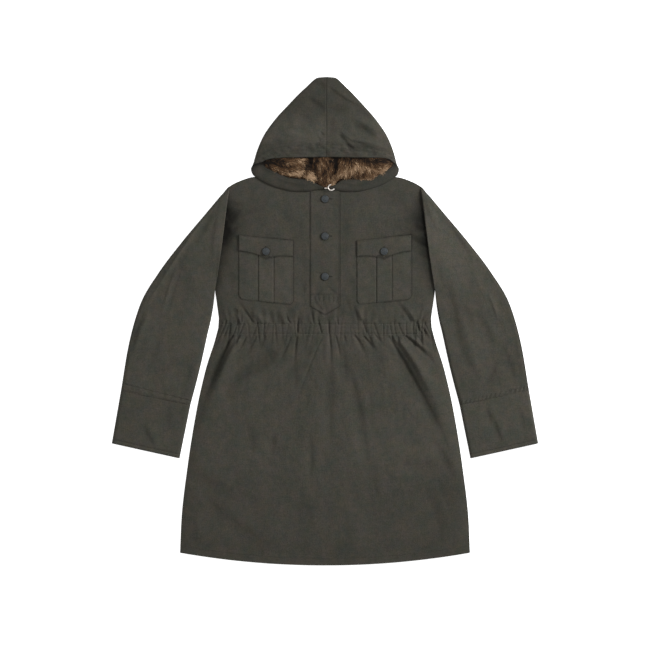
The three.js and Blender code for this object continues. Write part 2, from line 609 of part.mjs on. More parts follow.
// One meridian of the hood, from the rim to the neck seam. The inner one is inset by the cloth.
function hoodMeridian(t, side, inset) {
  const at = (column) => hoodColumn[column](t);
  const real = (x) => side * x + SEAM_X * (1 - x / HOOD_HALF) + (x < 1 ? side * SEAM_GAP / 2 : 0);
  const length = Math.hypot(at("foldX") - at("rimX"), at("foldY") - at("rimY"));
  const casing = Math.min(0.5, casingWidth(t) / length);
  const topShares = [0, casing / 2, casing, ...[0.2, 0.4, 0.6, 0.8].map((k) => lerp(casing, 1, k)), 0.975];
  const stop = 1 - inset / length;
  const points = topShares.map((s) => {
    const k = Math.min(s, 0.985) * (s > casing ? stop : 1);
    const x = lerp(at("rimX"), at("foldX"), k);
    const y = lerp(at("rimY"), at("foldY"), k);
    return [real(x), y, hoodTop(t, s, real(x), y) - inset];
  });
  const under = at("underZ");
  const edgeTop = hoodTop(t, 1, 0, 0);
  points.push([real(lerp(at("rimX"), at("foldX"), stop)), lerp(at("rimY"), at("foldY"), stop),
    (edgeTop + under) / 2]);
  for (const s of [0.03, 0.25, 0.6, 1]) {
    const k = s < 0.1 ? s + inset / length : s;
    const x = lerp(at("foldX"), at("endX"), k);
    points.push([real(x), lerp(at("foldY"), at("endY"), k), under + inset]);
  }
  return points;
}

const HOOD_SAMPLES = Array.from({ length: 33 }, (_, i) => i / 32).filter((_, i) => i > 12 || i % 2 === 0);

function hood(side) {
  const rows = (inset) => HOOD_SAMPLES.map((t) => hoodMeridian(t, side, inset));
  return wall(rows(0), rows(CLOTH));
}

// The casing is a strip over the hood's first three rows of points, from corner to corner.
function hoodCasing() {
  const samples = HOOD_SAMPLES.filter((t) => t <= CORNER_AT + 1e-6);
  const strip = (lift) => {
    const half = (side) => samples.map((t) => hoodMeridian(t, side, 0).slice(0, 3)
      .map(([x, y, z]) => [x, y, z + LAYER_GAP + lift]));
    return [...half(-1).reverse(), ...half(1).slice(1)];
  };
  return wall(strip(CASING.thickness), strip(0));
}

// Lining and fur

function lining() {
  const left = LINING_OUTLINE.slice(1).reverse().map(([x, y]) => [-x, y]);
  const shape = new THREE.Shape([...LINING_OUTLINE, ...left].map(([x, y]) => new THREE.Vector2(x, y)));
  const pelt = new THREE.ExtrudeGeometry(shape, { depth: CLOTH, bevelEnabled: false });
  return pelt.translate(0, 0, BACK_TOP + SEAM_GAP);
}

// The pile that fills the hood behind its mouth, up to the underside of the upper layer.
const CROWN_START = 24; // distance from the rim to the hidden pile
const CROWN_END = 0.3; // meridians beyond this share hold no pile

function furCrown() {
  const samples = HOOD_SAMPLES.filter((t) => t <= CROWN_END);
  const half = (side, top) => samples.map((t) => {
    const at = (column) => hoodColumn[column](t);
    const length = Math.hypot(at("foldX") - at("rimX"), at("foldY") - at("rimY"));
    return [0, 0.25, 0.5, 0.75, 1].map((k) => {
      const s = lerp(CROWN_START / length, 0.88, k);
      const x = side * lerp(at("rimX"), at("foldX"), s);
      const y = lerp(at("rimY"), at("foldY"), s);
      const real = x + SEAM_X * (1 - Math.abs(x) / HOOD_HALF);
      const roof = hoodTop(t, s, real, y) - CLOTH - 2 * LAYER_GAP;
      return [real, y, top ? roof : BACK_TOP + LAYER_GAP];
    });
  });
  const rows = (top) => [...half(-1, top).reverse(), ...half(1, top).slice(1)];
  return wall(rows(true), rows(false));
}

// A half-round section between two places, flat underneath.
function mound(from, to, height) {
  const steps = 8;
  return Array.from({ length: steps + 1 }, (_, i) => {
    const angle = (Math.PI * i) / steps;
    const share = (1 - Math.cos(angle)) / 2;
    const lift = 0.5 + height * Math.sin(angle) ** 0.7;
    return [lerp(from[0], to[0], share), lerp(from[1], to[1], share), FUR_BASE + (i % steps ? lift : 0)];
  });
}

function furRoll(side) {
  return loft(FUR_ROLL.map((r) => mound([side * r.x, r.low], [side * r.x, r.high], r.height)));
}

function furMiddle() {
  return loft(FUR_MIDDLE.map((r) => mound([r.left, r.y], [r.right, r.y], r.height)));
}

// Neck hook: an open ring of wire, and the bar that holds it.

class RingPath extends THREE.Curve {
  getPoint(t) {
    const angle = lerp(THREE.MathUtils.degToRad(105), THREE.MathUtils.degToRad(335), t);
    const { ringX, ringY, ringRadius, height } = HOOK;
    return new THREE.Vector3(ringX + ringRadius * Math.cos(angle), ringY + ringRadius * Math.sin(angle), height);
  }
}

function wireSection() {
  const corners = Array.from({ length: 8 }, (_, i) => (2 * Math.PI * i) / 8);
  return new THREE.Shape(corners.map((a) => new THREE.Vector2(HOOK.wire * Math.cos(a), HOOK.wire * Math.sin(a))));
}

function hookRing() {
  return new THREE.ExtrudeGeometry(wireSection(), { steps: 14, bevelEnabled: false, extrudePath: new RingPath() });
}

function hookBar() {
  const path = new THREE.LineCurve3(
    new THREE.Vector3(-1.5, 298.6, HOOK.height - 0.6),
    new THREE.Vector3(HOOK.ringX - HOOK.ringRadius - HOOK.wire - SEAM_GAP, 298.6, HOOK.height),
  );
  return new THREE.ExtrudeGeometry(wireSection(), { steps: 2, bevelEnabled: false, extrudePath: path });
}

// The garment

const smock = new THREE.Group();

function add(name, geometry, finish) {
  const mesh = new THREE.Mesh(geometry, new THREE.MeshStandardMaterial(finish));
  mesh.name = name;
  smock.add(mesh);
  return mesh;
}

add("back", back(), CANVAS);
add("front", front(), CANVAS);
add("placket", placket(), CANVAS);
add("hood_casing", hoodCasing(), CANVAS);
add("hood_lining", lining(), PELT);
add("fur_middle", furMiddle(), FUR);
add("fur_crown", furCrown(), FUR);
for (const [name, side] of [["left", -1], ["right", 1]]) {
  add(`sleeve_${name}`, sleeve(side), CANVAS);
  add(`cuff_${name}`, cuff(side), CANVAS);
  add(`pocket_${name}`, pocketBag(side), CANVAS);
  add(`flap_${name}`, pocketFlap(side), CANVAS);
  add(`hood_${name}`, hood(side), CANVAS);
  add(`fur_${name}`, furRoll(side), FUR);
  const [x, y] = pocketPlace(0, FLAP_BUTTON_LEVEL, side);
  const seat = chestTop(x, y) + 2 * LAYER_GAP + BAG_THICKNESS + PLEAT_LIFT + CLOTH - 0.2 + SEAM_GAP;
  add(`flap_button_${name}`, button(), BUTTON_PAINT).position.set(x, y, seat);
}
for (const { name, y } of PLACKET_BUTTONS) {
  const seat = chestTop(0, y) + LAYER_GAP + PLACKET.thickness + SEAM_GAP;
  add(`placket_button_${name}`, button(), BUTTON_PAINT).position.set(0, y, seat);
}
add("hook_ring", hookRing(), WIRE);
add("hook_bar", hookBar(), WIRE);

export default smock;
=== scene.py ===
"""A hooded, fur-lined pullover smock of cotton canvas, laid out flat and seen from straight above."""

import math
from functools import partial
from typing import NamedTuple

import bpy
import numpy as np
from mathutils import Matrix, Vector


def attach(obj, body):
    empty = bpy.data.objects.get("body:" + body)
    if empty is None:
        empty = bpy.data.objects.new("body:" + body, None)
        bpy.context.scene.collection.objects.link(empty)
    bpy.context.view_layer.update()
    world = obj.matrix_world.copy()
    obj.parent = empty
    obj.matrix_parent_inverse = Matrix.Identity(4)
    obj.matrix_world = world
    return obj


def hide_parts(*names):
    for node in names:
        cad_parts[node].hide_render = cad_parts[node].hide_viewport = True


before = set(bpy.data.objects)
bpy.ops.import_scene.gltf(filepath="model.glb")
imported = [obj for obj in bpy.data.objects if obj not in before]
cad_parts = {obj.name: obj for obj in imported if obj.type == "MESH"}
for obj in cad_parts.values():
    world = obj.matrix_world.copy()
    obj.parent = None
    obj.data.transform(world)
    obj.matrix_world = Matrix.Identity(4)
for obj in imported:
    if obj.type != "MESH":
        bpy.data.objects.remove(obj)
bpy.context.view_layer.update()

# Sizes below are in millimetres, in the frame's axes; meshes are made in metres.
MM = 0.001

# The light comes from this side in plan, so a fold is crisp on the flank that faces away from it
LIT_SIDE = (0.93, 0.36)

# Driving dimensions: the solids' own, but the waist casing, the placket's sides and the button levels
# differ by up to 0.9 mm
CLOTH = 1.5
LAYER_GAP = 0.4
SHOULDER = (218, 301)
ARMPIT = (247, 66)
ARMHOLE_BOW = 13
HEM_CORNER_Y = -521
HEM_DROP = 28.5
WAIST_TOP = -7.5
WAIST_BOTTOM = -29.5
BACK_TOP = CLOTH
FRONT_FLAT = 3.3
SEAM_X = 3.4
HOOD_HALF = 166.5
PLACKET_HALF = 33.4
PLACKET_TOP = 297
PLACKET_SHOULDER = 33.4
PLACKET_TIP = 13.6
PLACKET_BOX = 61.3
POCKET_X = 132.8
POCKET_HALF = 61.4
POCKET_TOP = 187.6
POCKET_BOTTOM = 42.9
POCKET_CORNER = 12
POCKET_SLOPE = 0.104
PLEAT_AT = 0.285
BUTTON_RADIUS = 9.5
DOME_RADIUS = BUTTON_RADIUS - 1.2
BUTTON_LEVELS = (274.8, 190.9, 100.2)
FLAP_BUTTON_LEVEL = 156.8
SLEEVE_LENGTH = 505
CUFF_LENGTH = 121
CUFF_WIDTH = 157
# How far from its edge a row of stitching lies: on the cuff's end, the left sleeve's and the casing
CUFF_ROW = 9
LEFT_SLEEVE_ROW = 15
CASING_ROWS = (12, 20)
# Where the rows down a pocket and its flap lie, as a share of the half width
POCKET_ROW = 0.965
SHADE_RANGE = (-0.2, 0.88)
SIDES = ((-1, "left"), (1, "right"))
UP = np.array([0, 0, 1.0])

# Framing: one pixel of the 650-pixel picture is 2.25 mm on the surface
PICTURE_WIDTH = 650 * 2.25
CAMERA_HEIGHT = 9000
CAMERA_Y = -8.7
SENSOR = 36


def table(columns, *rows):
    """Rows of numbers as a dict of columns."""
    names = columns.split()
    return {name: np.array([row[i] for row in rows], float) for i, name in enumerate(names)}


BODY_SIDE = table(
    "y half",
    (66, 247), (38, 243), (-2, 238.5), (-34, 245), (-106, 267.5), (-196, 288), (-322, 308.5),
    (-448, 323), (HEM_CORNER_Y, 326),
)
SHOULDER_SLOPE = ((124, 327), (164, 323.6), (200, 311.5), SHOULDER)
FRONT_EDGE = table("x y", (0, 298.7), (56, 303.2), (94.5, 312.2), *SHOULDER_SLOPE)
BACK_EDGE = table("x y", (0, 320), (56, 322.6), (94.5, 325.8), *SHOULDER_SLOPE)
SLEEVE = table(
    "at outer_x outer_y inner_x inner_y",
    (0, 218.8, 301.4, 247.9, 65.4),
    (0.13, 265, 246, 250.3, 40),
    (0.3, 322, 178, 255.8, 6),
    (0.47, 373.5, 110, 264.5, -31),
    (0.63, 414, 42, 273.3, -72),
    (0.8, 441, -50, 286.3, -127),
    (1, 459, -156, 302.6, -188.5),
)
CUFF = table(
    "at outer_x outer_y inner_x inner_y",
    (0, 459, -156, 302.6, -188.5),
    (1, 479.7, -275, 327, -308.7),
)
# Half of the hood, from the centre seam round the corner of the mouth to the hook
HOOD = table(
    "rim_x rim_y fold_x fold_y end_x end_y rim_z mid_z edge_z under_z",
    (0, 368.4, 0, 549.5, 0, 321.4, 15, 11, 4.2, 0),
    (14, 368.3, 18, 548.3, 14, 321.8, 15.2, 11.2, 4.2, 0),
    (34, 367.9, 48, 523.5, 34, 323, 15.8, 11.6, 4.2, 0),
    (56, 367.4, 83, 487.7, 54, 324.4, 16.2, 12, 4.2, 0),
    (80, 367.3, 115, 451.7, 74, 326, 16, 12, 4.2, 0),
    (104, 366.3, 139.5, 415.7, 94, 328, 14.2, 10.8, 4.2, 0),
    (124, 363, 154, 382, 110, 330.4, 11.6, 9, 4.2, 0),
    (140.6, 356.1, 162, 357, 124, 332.4, 9.4, 7.6, 4.2, 0),
    (139.5, 351.2, HOOD_HALF, 343.7, 127, 332, 8.4, 8, 5.4, 1.4),
    (132, 344.5, 163.5, 331.3, 125, 329.4, 8.2, 9, 7.4, 3.9),
    (118, 336.3, 150, 319.2, 117, 324.5, 8.2, 9.2, 7.4, 3.9),
    (98, 327.3, 126, 306, 101, 315.6, 8.2, 9.2, 7.4, 3.9),
    (78, 321.8, 98, 296.7, 80, 309.2, 8.6, 9.6, 7.8, 4.1),
    (56, 319.9, 70, 291.8, 58, 304.2, 9.4, 10.4, 8.8, 5.2),
    (36, 317.2, 44, 291.6, 38, 302, 9.6, 10.6, 9, 5.5),
    (19, 307, 22, 294.7, 20, 300.4, 9.4, 9.8, 9, 5.5),
    (5, 301.4, 5, 295.8, 5, 298.4, 9, 9.2, 8.9, 5.5),
)
HOOD["at"] = np.linspace(0, 1, len(HOOD["rim_x"]))
# The line in plan of each sleeve's fold over the front, and on each side the hollow beside it: how dark its
# painted shade is, which also sets its depth, and its width
SLEEVE_FOLD = table("y x", (304, 214.5), (270, 221.4), (192, 229.5), (145, 234.7), (93, 241.9), (55, 247.5))
HOLLOWS = {
    -1: table(
        "y dark width",
        (300, 0, 8), (286, 0.2, 10), (264, 0.68, 22), (232, 0.96, 32), (205, 0.98, 31), (178, 0.84, 27),
        (140, 0.56, 20), (100, 0.42, 14), (70, 0.28, 9), (50, 0.05, 8), (30, 0, 8),
    ),
    1: table(
        "y dark width",
        (302, 0.24, 5), (288, 0.56, 9), (262, 0.7, 24), (232, 0.82, 35), (205, 0.87, 36), (178, 0.85, 30),
        (140, 0.7, 23), (100, 0.5, 17), (70, 0.3, 12), (50, 0.05, 8), (30, 0, 8),
    ),
}
# The mouth sits a little lower and wider on the wearer's left than on the right
MOUTH = {
    -1: table(
        "row rim_x rim_y fold_y",
        (6, 121, 365, 381), (7, 139.5, 359, 353.5), (8, 138.5, 354, 342), (9, 131, 346.5, 331),
        (10, 117, 338, 319.2), (11, 97, 328.5, 306),
    ),
    1: table(
        "row rim_x rim_y fold_y",
        (5, 104, 367, 415.7), (6, 127, 367, 381), (7, 149, 360.5, 352), (8, 149, 350, 341.5),
        (9, 140, 341.5, 330), (10, 121, 331, 318.5), (11, 100, 323.5, 305.5), (12, 79, 319, 296.7),
    ),
}
CORNER = 7 / 16


class Fold(NamedTuple):
    """A soft ridge along a bent line, or a trough where the height is negative. Shade is painted shade that
    darkens it, and a negative shade a painted highlight.
    """

    start: tuple
    middle: tuple
    end: tuple
    width: float
    height: float
    shade: float = 0


def fold_rows(*rows):
    """Folds from rows of numbers: x and y of the start, middle and end, then width, height and shade."""
    return [Fold(row[0:2], row[2:4], row[4:6], *row[6:]) for row in rows]


def turned(fold):
    return fold._replace(start=fold.end, end=fold.start)


# Creases of the front, in the order of the places where they leave the waist, left to right
SKIRT_FOLDS = fold_rows(
    (-206, -31, -240, -96, -302, -252, 5, -3.2, 0.2), (-194, -38, -230, -112, -290, -248, 12, 4.6, -0.06),
    (-190, -32, -200, -46, -214, -66, 3.5, -2.11, 0.11), (-176, -34, -190, -58, -205, -80, 4, -1.76, 0.08),
    (-154, -33, -168, -58, -180, -84, 6, -1.94, 0.08), (-134, -33, -141, -50, -150, -72, 5, -1.58, 0.06),
    (-77, -35, -90, -65, -118, -112, 5, -2.11, 0.08), (-62, -33, -67, -70, -70, -114, 4, -2.29, 0.09),
    (-6, -36, -41, -118, -88, -246, 3.2, -1.06, 0.09), (-20, -50, -52, -130, -92, -230, 12, 0.9, 0),
    (9.4, -28, 13, -62, 13, -112, 3.4, -2.29, 0.11), (24, -31, 32, -68, 36, -104, 3.6, -1.76, 0.08),
    (42, -31, 46, -44, 52, -60, 3.5, -1.41, 0.05), (64, -31, 81, -54, 94, -92, 5, -2.46, 0.09),
    (87, -33, 100, -49, 116, -66, 3.6, -2.82, 0.14), (104, -33, 114, -52, 132, -78, 8, 1.8),
    (113, -30, 120, -40, 129, -50, 3, -2.11, 0.11), (142, -33, 198, -128, 292, -312, 6.5, -2.5, 0.14),
    (164, -42, 222, -124, 300, -282, 14, 5.4, -0.07), (150, -33, 156, -46, 166, -60, 3.4, -2.29, 0.12),
    (164, -34, 167, -50, 171, -70, 3.6, -1.76, 0.08), (178, -31, 218, -66, 266, -116, 3.8, -2.7, 0.16),
    (190, -34, 226, -62, 258, -88, 6, 3.4, -0.05), (206, -31, 216, -46, 224, -64, 3, -1.94, 0.09),
    (219, -14, 230, -32, 241, -52, 4, -3.2, 0.2),
)
LOWER_FOLDS = fold_rows(
    (-215, -44, -252, -124, -303, -262, 14, -2.5, 0.17), (156, -62, 202, -140, 288, -312, 14, -2.3, 0.17),
    (-222, -52, -244, -104, -262, -150, 12, -2, 0.2), (-112, -68, -142, -94, -222, -138, 11, -3.9, 0.18),
    (-120, -88, -168, -126, -214, -166, 13, 3, -0.04), (-69, -80, -72, -115, -74, -160, 12, -1.8, 0.06),
    (12, -70, 9, -170, 9, -280, 13, -2, 0.07), (34, -52, 40, -96, 43, -144, 12, -1.8, 0.07),
    (50, -100, 70, -186, 96, -330, 13, -2.4, 0.09), (150, -56, 196, -140, 254, -232, 16, -1.2, 0.12),
    (-308, -333, -262, -366, -205, -388, 17, -2, 0.08), (-276, -392, -204, -462, -96, -528, 18, -0.9, 0.03),
    (-262, -374, -190, -442, -80, -512, 20, 1.4, -0.02), (-33, -252, -32, -305, -33, -356, 7, -1.2, 0.06),
    (-178, -222, -170, -262, -162, -302, 14, -1.6, 0.06),
    (-117, -248, -119, -275, -120, -302, 9, -1.4, 0.06), (236, -262, 268, -312, 290, -366, 13, -2, 0.08),
    (164, -322, 222, -330, 292, -318, 15, -2, 0.08), (140, -330, 158, -344, 200, -352, 12, 1.6),
    (88, -290, 104, -345, 110, -400, 18, -1.6, 0.05), (-60, -380, -46, -430, -40, -480, 22, -1.6, 0.04),
    (52, -420, 66, -470, 70, -520, 20, 1.6), (236, -400, 250, -450, 256, -500, 20, -1.8, 0.05),
    (-290, -440, -282, -480, -280, -515, 13, 1.6),
)
BLOUSON_FOLDS = fold_rows(
    (-202, 58, -182, 26, -160, -4, 4.4, -2, 0.14), (-205, 36, -194, 12, -188, -8, 9, 2.8),
    (-214, 30, -205, 24, -196, 22, 9, -2, 0.14), (-190, 22, -188, 10, -187, -4, 3.2, -2.2, 0.13),
    (-172, 22, -152, 12, -140, -6, 8, 2), (-126, 24, -120, 12, -121, -4, 10, -1.2, 0.07),
    (-87, 26, -86, 10, -77, -5, 3.6, -2.2, 0.13), (-98, 30, -96, 12, -90, -6, 7, 1.6),
    (-62, 20, -61, 0, -61.5, -28, 3.2, -3.4, 0.26), (-31, 30, -28, 14, -26, -4, 3, -2.2, 0.13),
    (-20, 22, -14, -2, -7, -28, 3, -2.6, 0.15), (8, 12, 8.5, -8, 9.6, -29, 3, -3, 0.2),
    (26, 14, 28, 2, 30, -9, 3, -2, 0.12), (40, 54, 50, 40, 58, 22, 8, -1.1, 0.09),
    (54, 54, 66, 28, 74, -2, 5, -1.3, 0.07), (70, 44, 77, 22, 84, 2, 8, 2),
    (82, 8, 88, -8, 94, -28, 3, -2.8, 0.18), (152, 54, 176, 25, 194, -2, 4.4, -1.5, 0.09),
    (176, 46, 190, 24, 202, 0, 8, 2.6), (202, 6, 208, -8, 217, -28, 3.2, -3, 0.2),
    (233, 26, 222, 10, 214, -6, 4, -2.6, 0.16), (228, 44, 222, 24, 216, 4, 8, 2.2),
    (-232, 30, -226, 10, -222, -6, 5, -2.2, 0.14),
)
CHEST_FOLDS = fold_rows(
    (-214, 268, -198, 262, -183, 262, 4, -1.4, 0.12), (-222, 232, -204, 240, -188, 252, 6, -1.4, 0.1),
    (-226, 212, -208, 216, -190, 230, 5, 1.2, -0.1), (-226, 196, -212, 200, -194, 214, 6, -1.2, 0.1),
    (-196, 236, -160, 262, -128, 276, 13, -1.6, 0.09), (-150, 300, -160, 280, -186, 262, 9, 1.2, -0.02),
    (110, 288, 150, 270, 190, 240, 18, -1.6, 0.08), (192, 188, 212, 176, 236, 164, 5, -1.2, 0.1),
    (190, 206, 212, 192, 232, 186, 6, 0.9, -0.07), (192, 224, 212, 208, 230, 200, 6, -1, 0.06),
    (206, 150, 220, 146, 234, 140, 5, -0.9, 0.06), (-222, 130, -212, 100, -214, 66, 10, -1, 0.08),
    (240, 110, 232, 84, 236, 54, 10, -1, 0.08), (-60, 240, -54, 180, -52, 110, 12, -0.6, 0.01),
    (52, 262, 56, 200, 54, 130, 14, 1.2), (54, 98, 56, 80, 60, 62, 12, -1, 0.05),
    (-100, 262, -70, 240, -50, 236, 16, 1.4), (-44, 60, -50, 74, -44, 92, 6, -1.4, 0.08),
)
SLEEVE_FOLDS = {
    -1: fold_rows(
        (-232, 282, -306, 185, -408, 24, 3.6, 2.4, -0.08), (-246, 274, -320, 180, -410, 40, 6, -1.8, 0.1),
        (-252, 250, -272, 214, -296, 170, 9, -1.6, 0.08), (-304, 176, -326, 136, -352, 84, 8, -1, 0.05),
        (-232, 270, -242, 210, -250, 150, 9, 1.8, -0.05), (-403, 30, -424, -16, -440, -76, 6, -1.6, 0.07),
        (-394, 20, -414, -22, -430, -72, 6, 2.2, -0.04), (-330, 132, -350, 74, -368, 12, 4, 1.4, -0.04),
        (-322, 128, -341, 70, -358, 8, 6, -1, 0.04), (-330, -84, -368, -108, -408, -132, 9, -2, 0.09),
        (-324, -72, -362, -92, -400, -112, 10, 1.6, -0.02), (-290, 120, -300, 60, -318, -10, 20, 1.4, 0),
        (-300, -60, -312, -110, -318, -150, 14, -1.3, 0.05),
        (-440, -60, -444, -100, -450, -140, 12, 1.4, 0),
        (-370, -20, -384, -60, -390, -96, 12, -1.2, 0.04),
    ),
    1: fold_rows(
        (224, 288, 238, 250, 256, 200, 9, 1.6, -0.08), (232, 276, 250, 236, 270, 186, 10, -0.8, 0.02),
        (246, 262, 290, 196, 330, 132, 10, -1.4, 0.04), (270, 104, 286, 20, 336, -120, 15, -2.4, 0.11),
        (300, 30, 316, -50, 352, -130, 13, 2, -0.04), (367, 62, 379, 34, 388, 4, 4, 1.6, -0.05),
        (336, 20, 362, -28, 376, -76, 13, -1.5, 0.08), (392, -56, 413, -100, 422, -142, 12, -1.4, 0.05),
        (382, -92, 372, -122, 352, -146, 8, -2, 0.1), (330, 110, 356, 60, 360, 10, 18, 1.4, 0),
        (430, -20, 440, -70, 446, -120, 12, 1.2, 0), (262, 160, 268, 120, 276, 70, 12, 1.2, -0.04),
        (300, 40, 320, 10, 326, -30, 12, -1.2, 0.05),
    ),
}
CUFF_FOLDS = {
    -1: fold_rows(
        (-414, -232, -400, -258, -388, -284, 8, -1, 0.05), (-402, -230, -390, -254, -376, -280, 8, 1.3),
        (-350, -196, -356, -220, -354, -250, 10, -1.2, 0.05),
    ),
    1: fold_rows(
        (359, -194, 366, -212, 372, -236, 8, -1.8, 0.1), (384, -222, 394, -246, 404, -272, 7, 1.4, -0.03),
        (372, -212, 384, -244, 396, -274, 10, -1.3, 0.06),
        (430, -190, 440, -220, 444, -250, 9, -1.2, 0.05),
    ),
}
HOOD_FOLDS = fold_rows(
    (-30, 536, -12, 532, 2, 526, 7, -1.5, 0.12), (8, 532, 44, 506, 80, 486, 5, 1.8, -0.06),
    (8, 522, 26, 512, 48, 496, 8, -1, 0.07), (-40, 504, -20, 488, 0, 474, 8, -2.1, 0.15),
    (4, 478, 22, 476, 44, 482, 7, -1.3, 0.11), (60, 442, 86, 430, 118, 409, 8, -2.5, 0.2),
    (62, 458, 96, 443, 124, 420, 8, 2, -0.05), (31, 420, 39, 411, 50, 402, 4.5, -2, 0.22),
    (45, 406, 52, 395, 58, 376, 4, -1.3, 0.12), (50, 407, 74, 400, 100, 392, 3.6, -1.4, 0.14),
    (58, 399, 80, 391, 106, 384, 4, 1.3, -0.05), (34, 429, 48, 417, 64, 405, 4, 1.5, -0.04),
    (38, 402, 50, 396, 64, 390, 3.6, -1.2, 0.1), (70, 407, 108, 399, 148, 385, 5, 2.2, -0.1),
    (60, 398, 92, 389, 134, 381, 5, -1.8, 0.18), (-12, 426, -7, 421, -2, 416, 3.5, -1.5, 0.15),
    (-20, 414, -14, 410, -12, 400, 3, -1.1, 0.11), (-102, 440, -80, 427, -52, 421, 12, 1.3, 0),
    (-120, 420, -110, 405, -90, 396, 9, -1.1, 0.07), (-60, 470, -42, 450, -30, 430, 13, -1.1, 0.06),
    (-84, 470, -74, 452, -70, 430, 10, 1.1, 0), (60, 492, 84, 470, 104, 446, 8, -1.1, 0.06),
    (18, 462, 14, 440, 16, 420, 8, -0.9, 0.06), (-116, 424, -80, 432, -36, 428, 6, -0.9, 0.05),
    (-96, 414, -60, 416, -24, 410, 4.5, 0.9, -0.03), (-124, 400, -84, 402, -30, 396, 4.5, -0.8, 0.05),
    (44, 394, 70, 386, 104, 379, 3.4, -1.1, 0.1), (46, 400, 60, 387, 66, 370, 6, -1.5, 0.14),
    (100, 392, 108, 381, 110, 368, 5, -1.1, 0.1), (-38, 400, -32, 387, -30, 370, 5, -1, 0.07),
    (-112, 326, -84, 316, -46, 311, 5, 1, -0.05), (-96, 312, -70, 305, -38, 302, 4.5, -0.8, 0.06),
    (-148, 350, -134, 338, -116, 328, 9, -0.8, 0.1), (36, 312, 66, 312, 98, 317, 5, 0.9, -0.05),
    (52, 303, 80, 304, 112, 312, 4.5, -0.7, 0.06),
)


# Curves and fields

def ease(t):
    t = np.clip(t, 0, 1)
    return t * t * (3 - 2 * t)


def step(v, low, high):
    """0 at low, 1 at high and smooth between. Low may be the larger."""
    return ease((v - low) / (high - low))


def beside(distance, width):
    """1 at no distance, and a soft fall to nothing at about twice the width."""
    return np.exp(-((distance / width) ** 2))


def patch(x, y, at_x, at_y, reach_x, reach_y):
    """A soft oval patch, 1 at its middle."""
    return np.exp(-(((x - at_x) / reach_x) ** 2 + ((y - at_y) / reach_y) ** 2))


def through(rows, at, value):
    """A smooth curve through one column of a table against another, with no overshoot."""
    order = np.argsort(rows[at])
    x = rows[at][order]
    y = rows[value][order]
    span = np.diff(x)
    rise = np.diff(y) / span
    product = rise[:-1] * rise[1:]
    total = np.where(product > 0, rise[:-1] + rise[1:], 1)
    inner = np.where(product > 0, 2 * product / total, 0)
    slope = np.concatenate([rise[:1], inner, rise[-1:]])

    def curve(v):
        v = np.clip(v, x[0], x[-1])
        i = np.clip(np.searchsorted(x, v, side="right") - 1, 0, len(x) - 2)
        t = (v - x[i]) / span[i]
        straight = y[i] + (y[i + 1] - y[i]) * t * t * (3 - 2 * t)
        return straight + span[i] * t * (1 - t) * (slope[i] * (1 - t) - slope[i + 1] * t)

    return curve


def soft_noise(x, y, size, seed):
    """Smooth noise from -1 to 1, with patches of about that size."""
    cells = 97
    values = np.random.default_rng(seed).uniform(-1, 1, (cells, cells))
    fx, fy = x / size + 31.7, y / size + 17.3
    ix, iy = np.floor(fx).astype(int), np.floor(fy).astype(int)
    tx, ty = ease(fx - ix), ease(fy - iy)

    def at(a, b):
        return values[(ix + a) % cells, (iy + b) % cells]

    low = at(0, 0) * (1 - tx) + at(1, 0) * tx
    high = at(0, 1) * (1 - tx) + at(1, 1) * tx
    return low * (1 - ty) + high * ty


def crumple(x, y, seed, along=1.0):
    """Small unevenness of washed cotton. Along above 1 stretches it in Y."""
    big = soft_noise(x, y / along, 46, seed)
    middle = soft_noise(x + 0.3 * y, y / along, 21, seed + 1)
    small = soft_noise(x, y / along + 0.2 * x, 9, seed + 2)
    crease = (1 - np.abs(soft_noise(x + 0.4 * y, y / along, 38, seed + 3))) ** 9
    finer = (1 - np.abs(soft_noise(x - 0.3 * y, y / along, 19, seed + 4))) ** 9
    return 0.7 * big + 0.34 * middle + 0.14 * small - 0.3 * crease - 0.16 * finer


def fold_field(x, y, folds, fan=False):
    """Height and painted shade that folds give at each point. A fan's folds start crisp and open out."""
    height = np.zeros_like(x)
    shade = np.zeros_like(x)
    share = np.linspace(0, 1, 22)[:, None]
    for fold in folds:
        a, b, c = (np.array(p, float) for p in (fold.start, fold.middle, fold.end))
        bend = 2 * b - (a + c) / 2
        line = (1 - share) ** 2 * a + 2 * share * (1 - share) * bend + share**2 * c
        reach = 3.4 * fold.width
        near = (x > line[:, 0].min() - reach) & (x < line[:, 0].max() + reach)
        near &= (y > line[:, 1].min() - reach) & (y < line[:, 1].max() + reach)
        if not near.any():
            continue
        px, py = x[near], y[near]
        first = line[:-1]
        run = np.diff(line, axis=0)
        square = (run**2).sum(1)
        dx = px[:, None] - first[:, 0]
        dy = py[:, None] - first[:, 1]
        k = np.clip((dx * run[:, 0] + dy * run[:, 1]) / square, 0, 1)
        off_x, off_y = dx - k * run[:, 0], dy - k * run[:, 1]
        away = np.hypot(off_x, off_y)
        nearest = away.argmin(1)
        pick = np.arange(len(px)), nearest
        along = (nearest + k[pick]) / len(run)
        if fan:
            fade = step(along, -0.02, 0.07) * (1 - step(along, 0.3, 1))
            width = fold.width * (0.45 + 0.85 * along)
        else:
            fade = np.sin(math.pi * np.clip(along, 0, 1)) ** 0.8
            width = fold.width * (0.65 + 0.5 * np.sin(math.pi * along))
        lit = (off_x * LIT_SIDE[0] + off_y * LIT_SIDE[1])[pick] / width
        crisp = 1 - 0.36 * np.tanh(1.6 * lit) * np.sign(-fold.height)
        height[near] += fold.height * fade * beside(away[pick], width * crisp)
        # Painted shade on the flank towards the light, which in a trough faces away from it; a negative
        # shade paints a highlight there instead, on a ridge's lit flank
        dark = fade * beside(away[pick] * np.tanh(3 * lit) / width - 0.25, 0.75)
        shade[near] += fold.shade * np.where(away[pick] < 3 * width, dark, 0)
    return height, shade


# Meshes

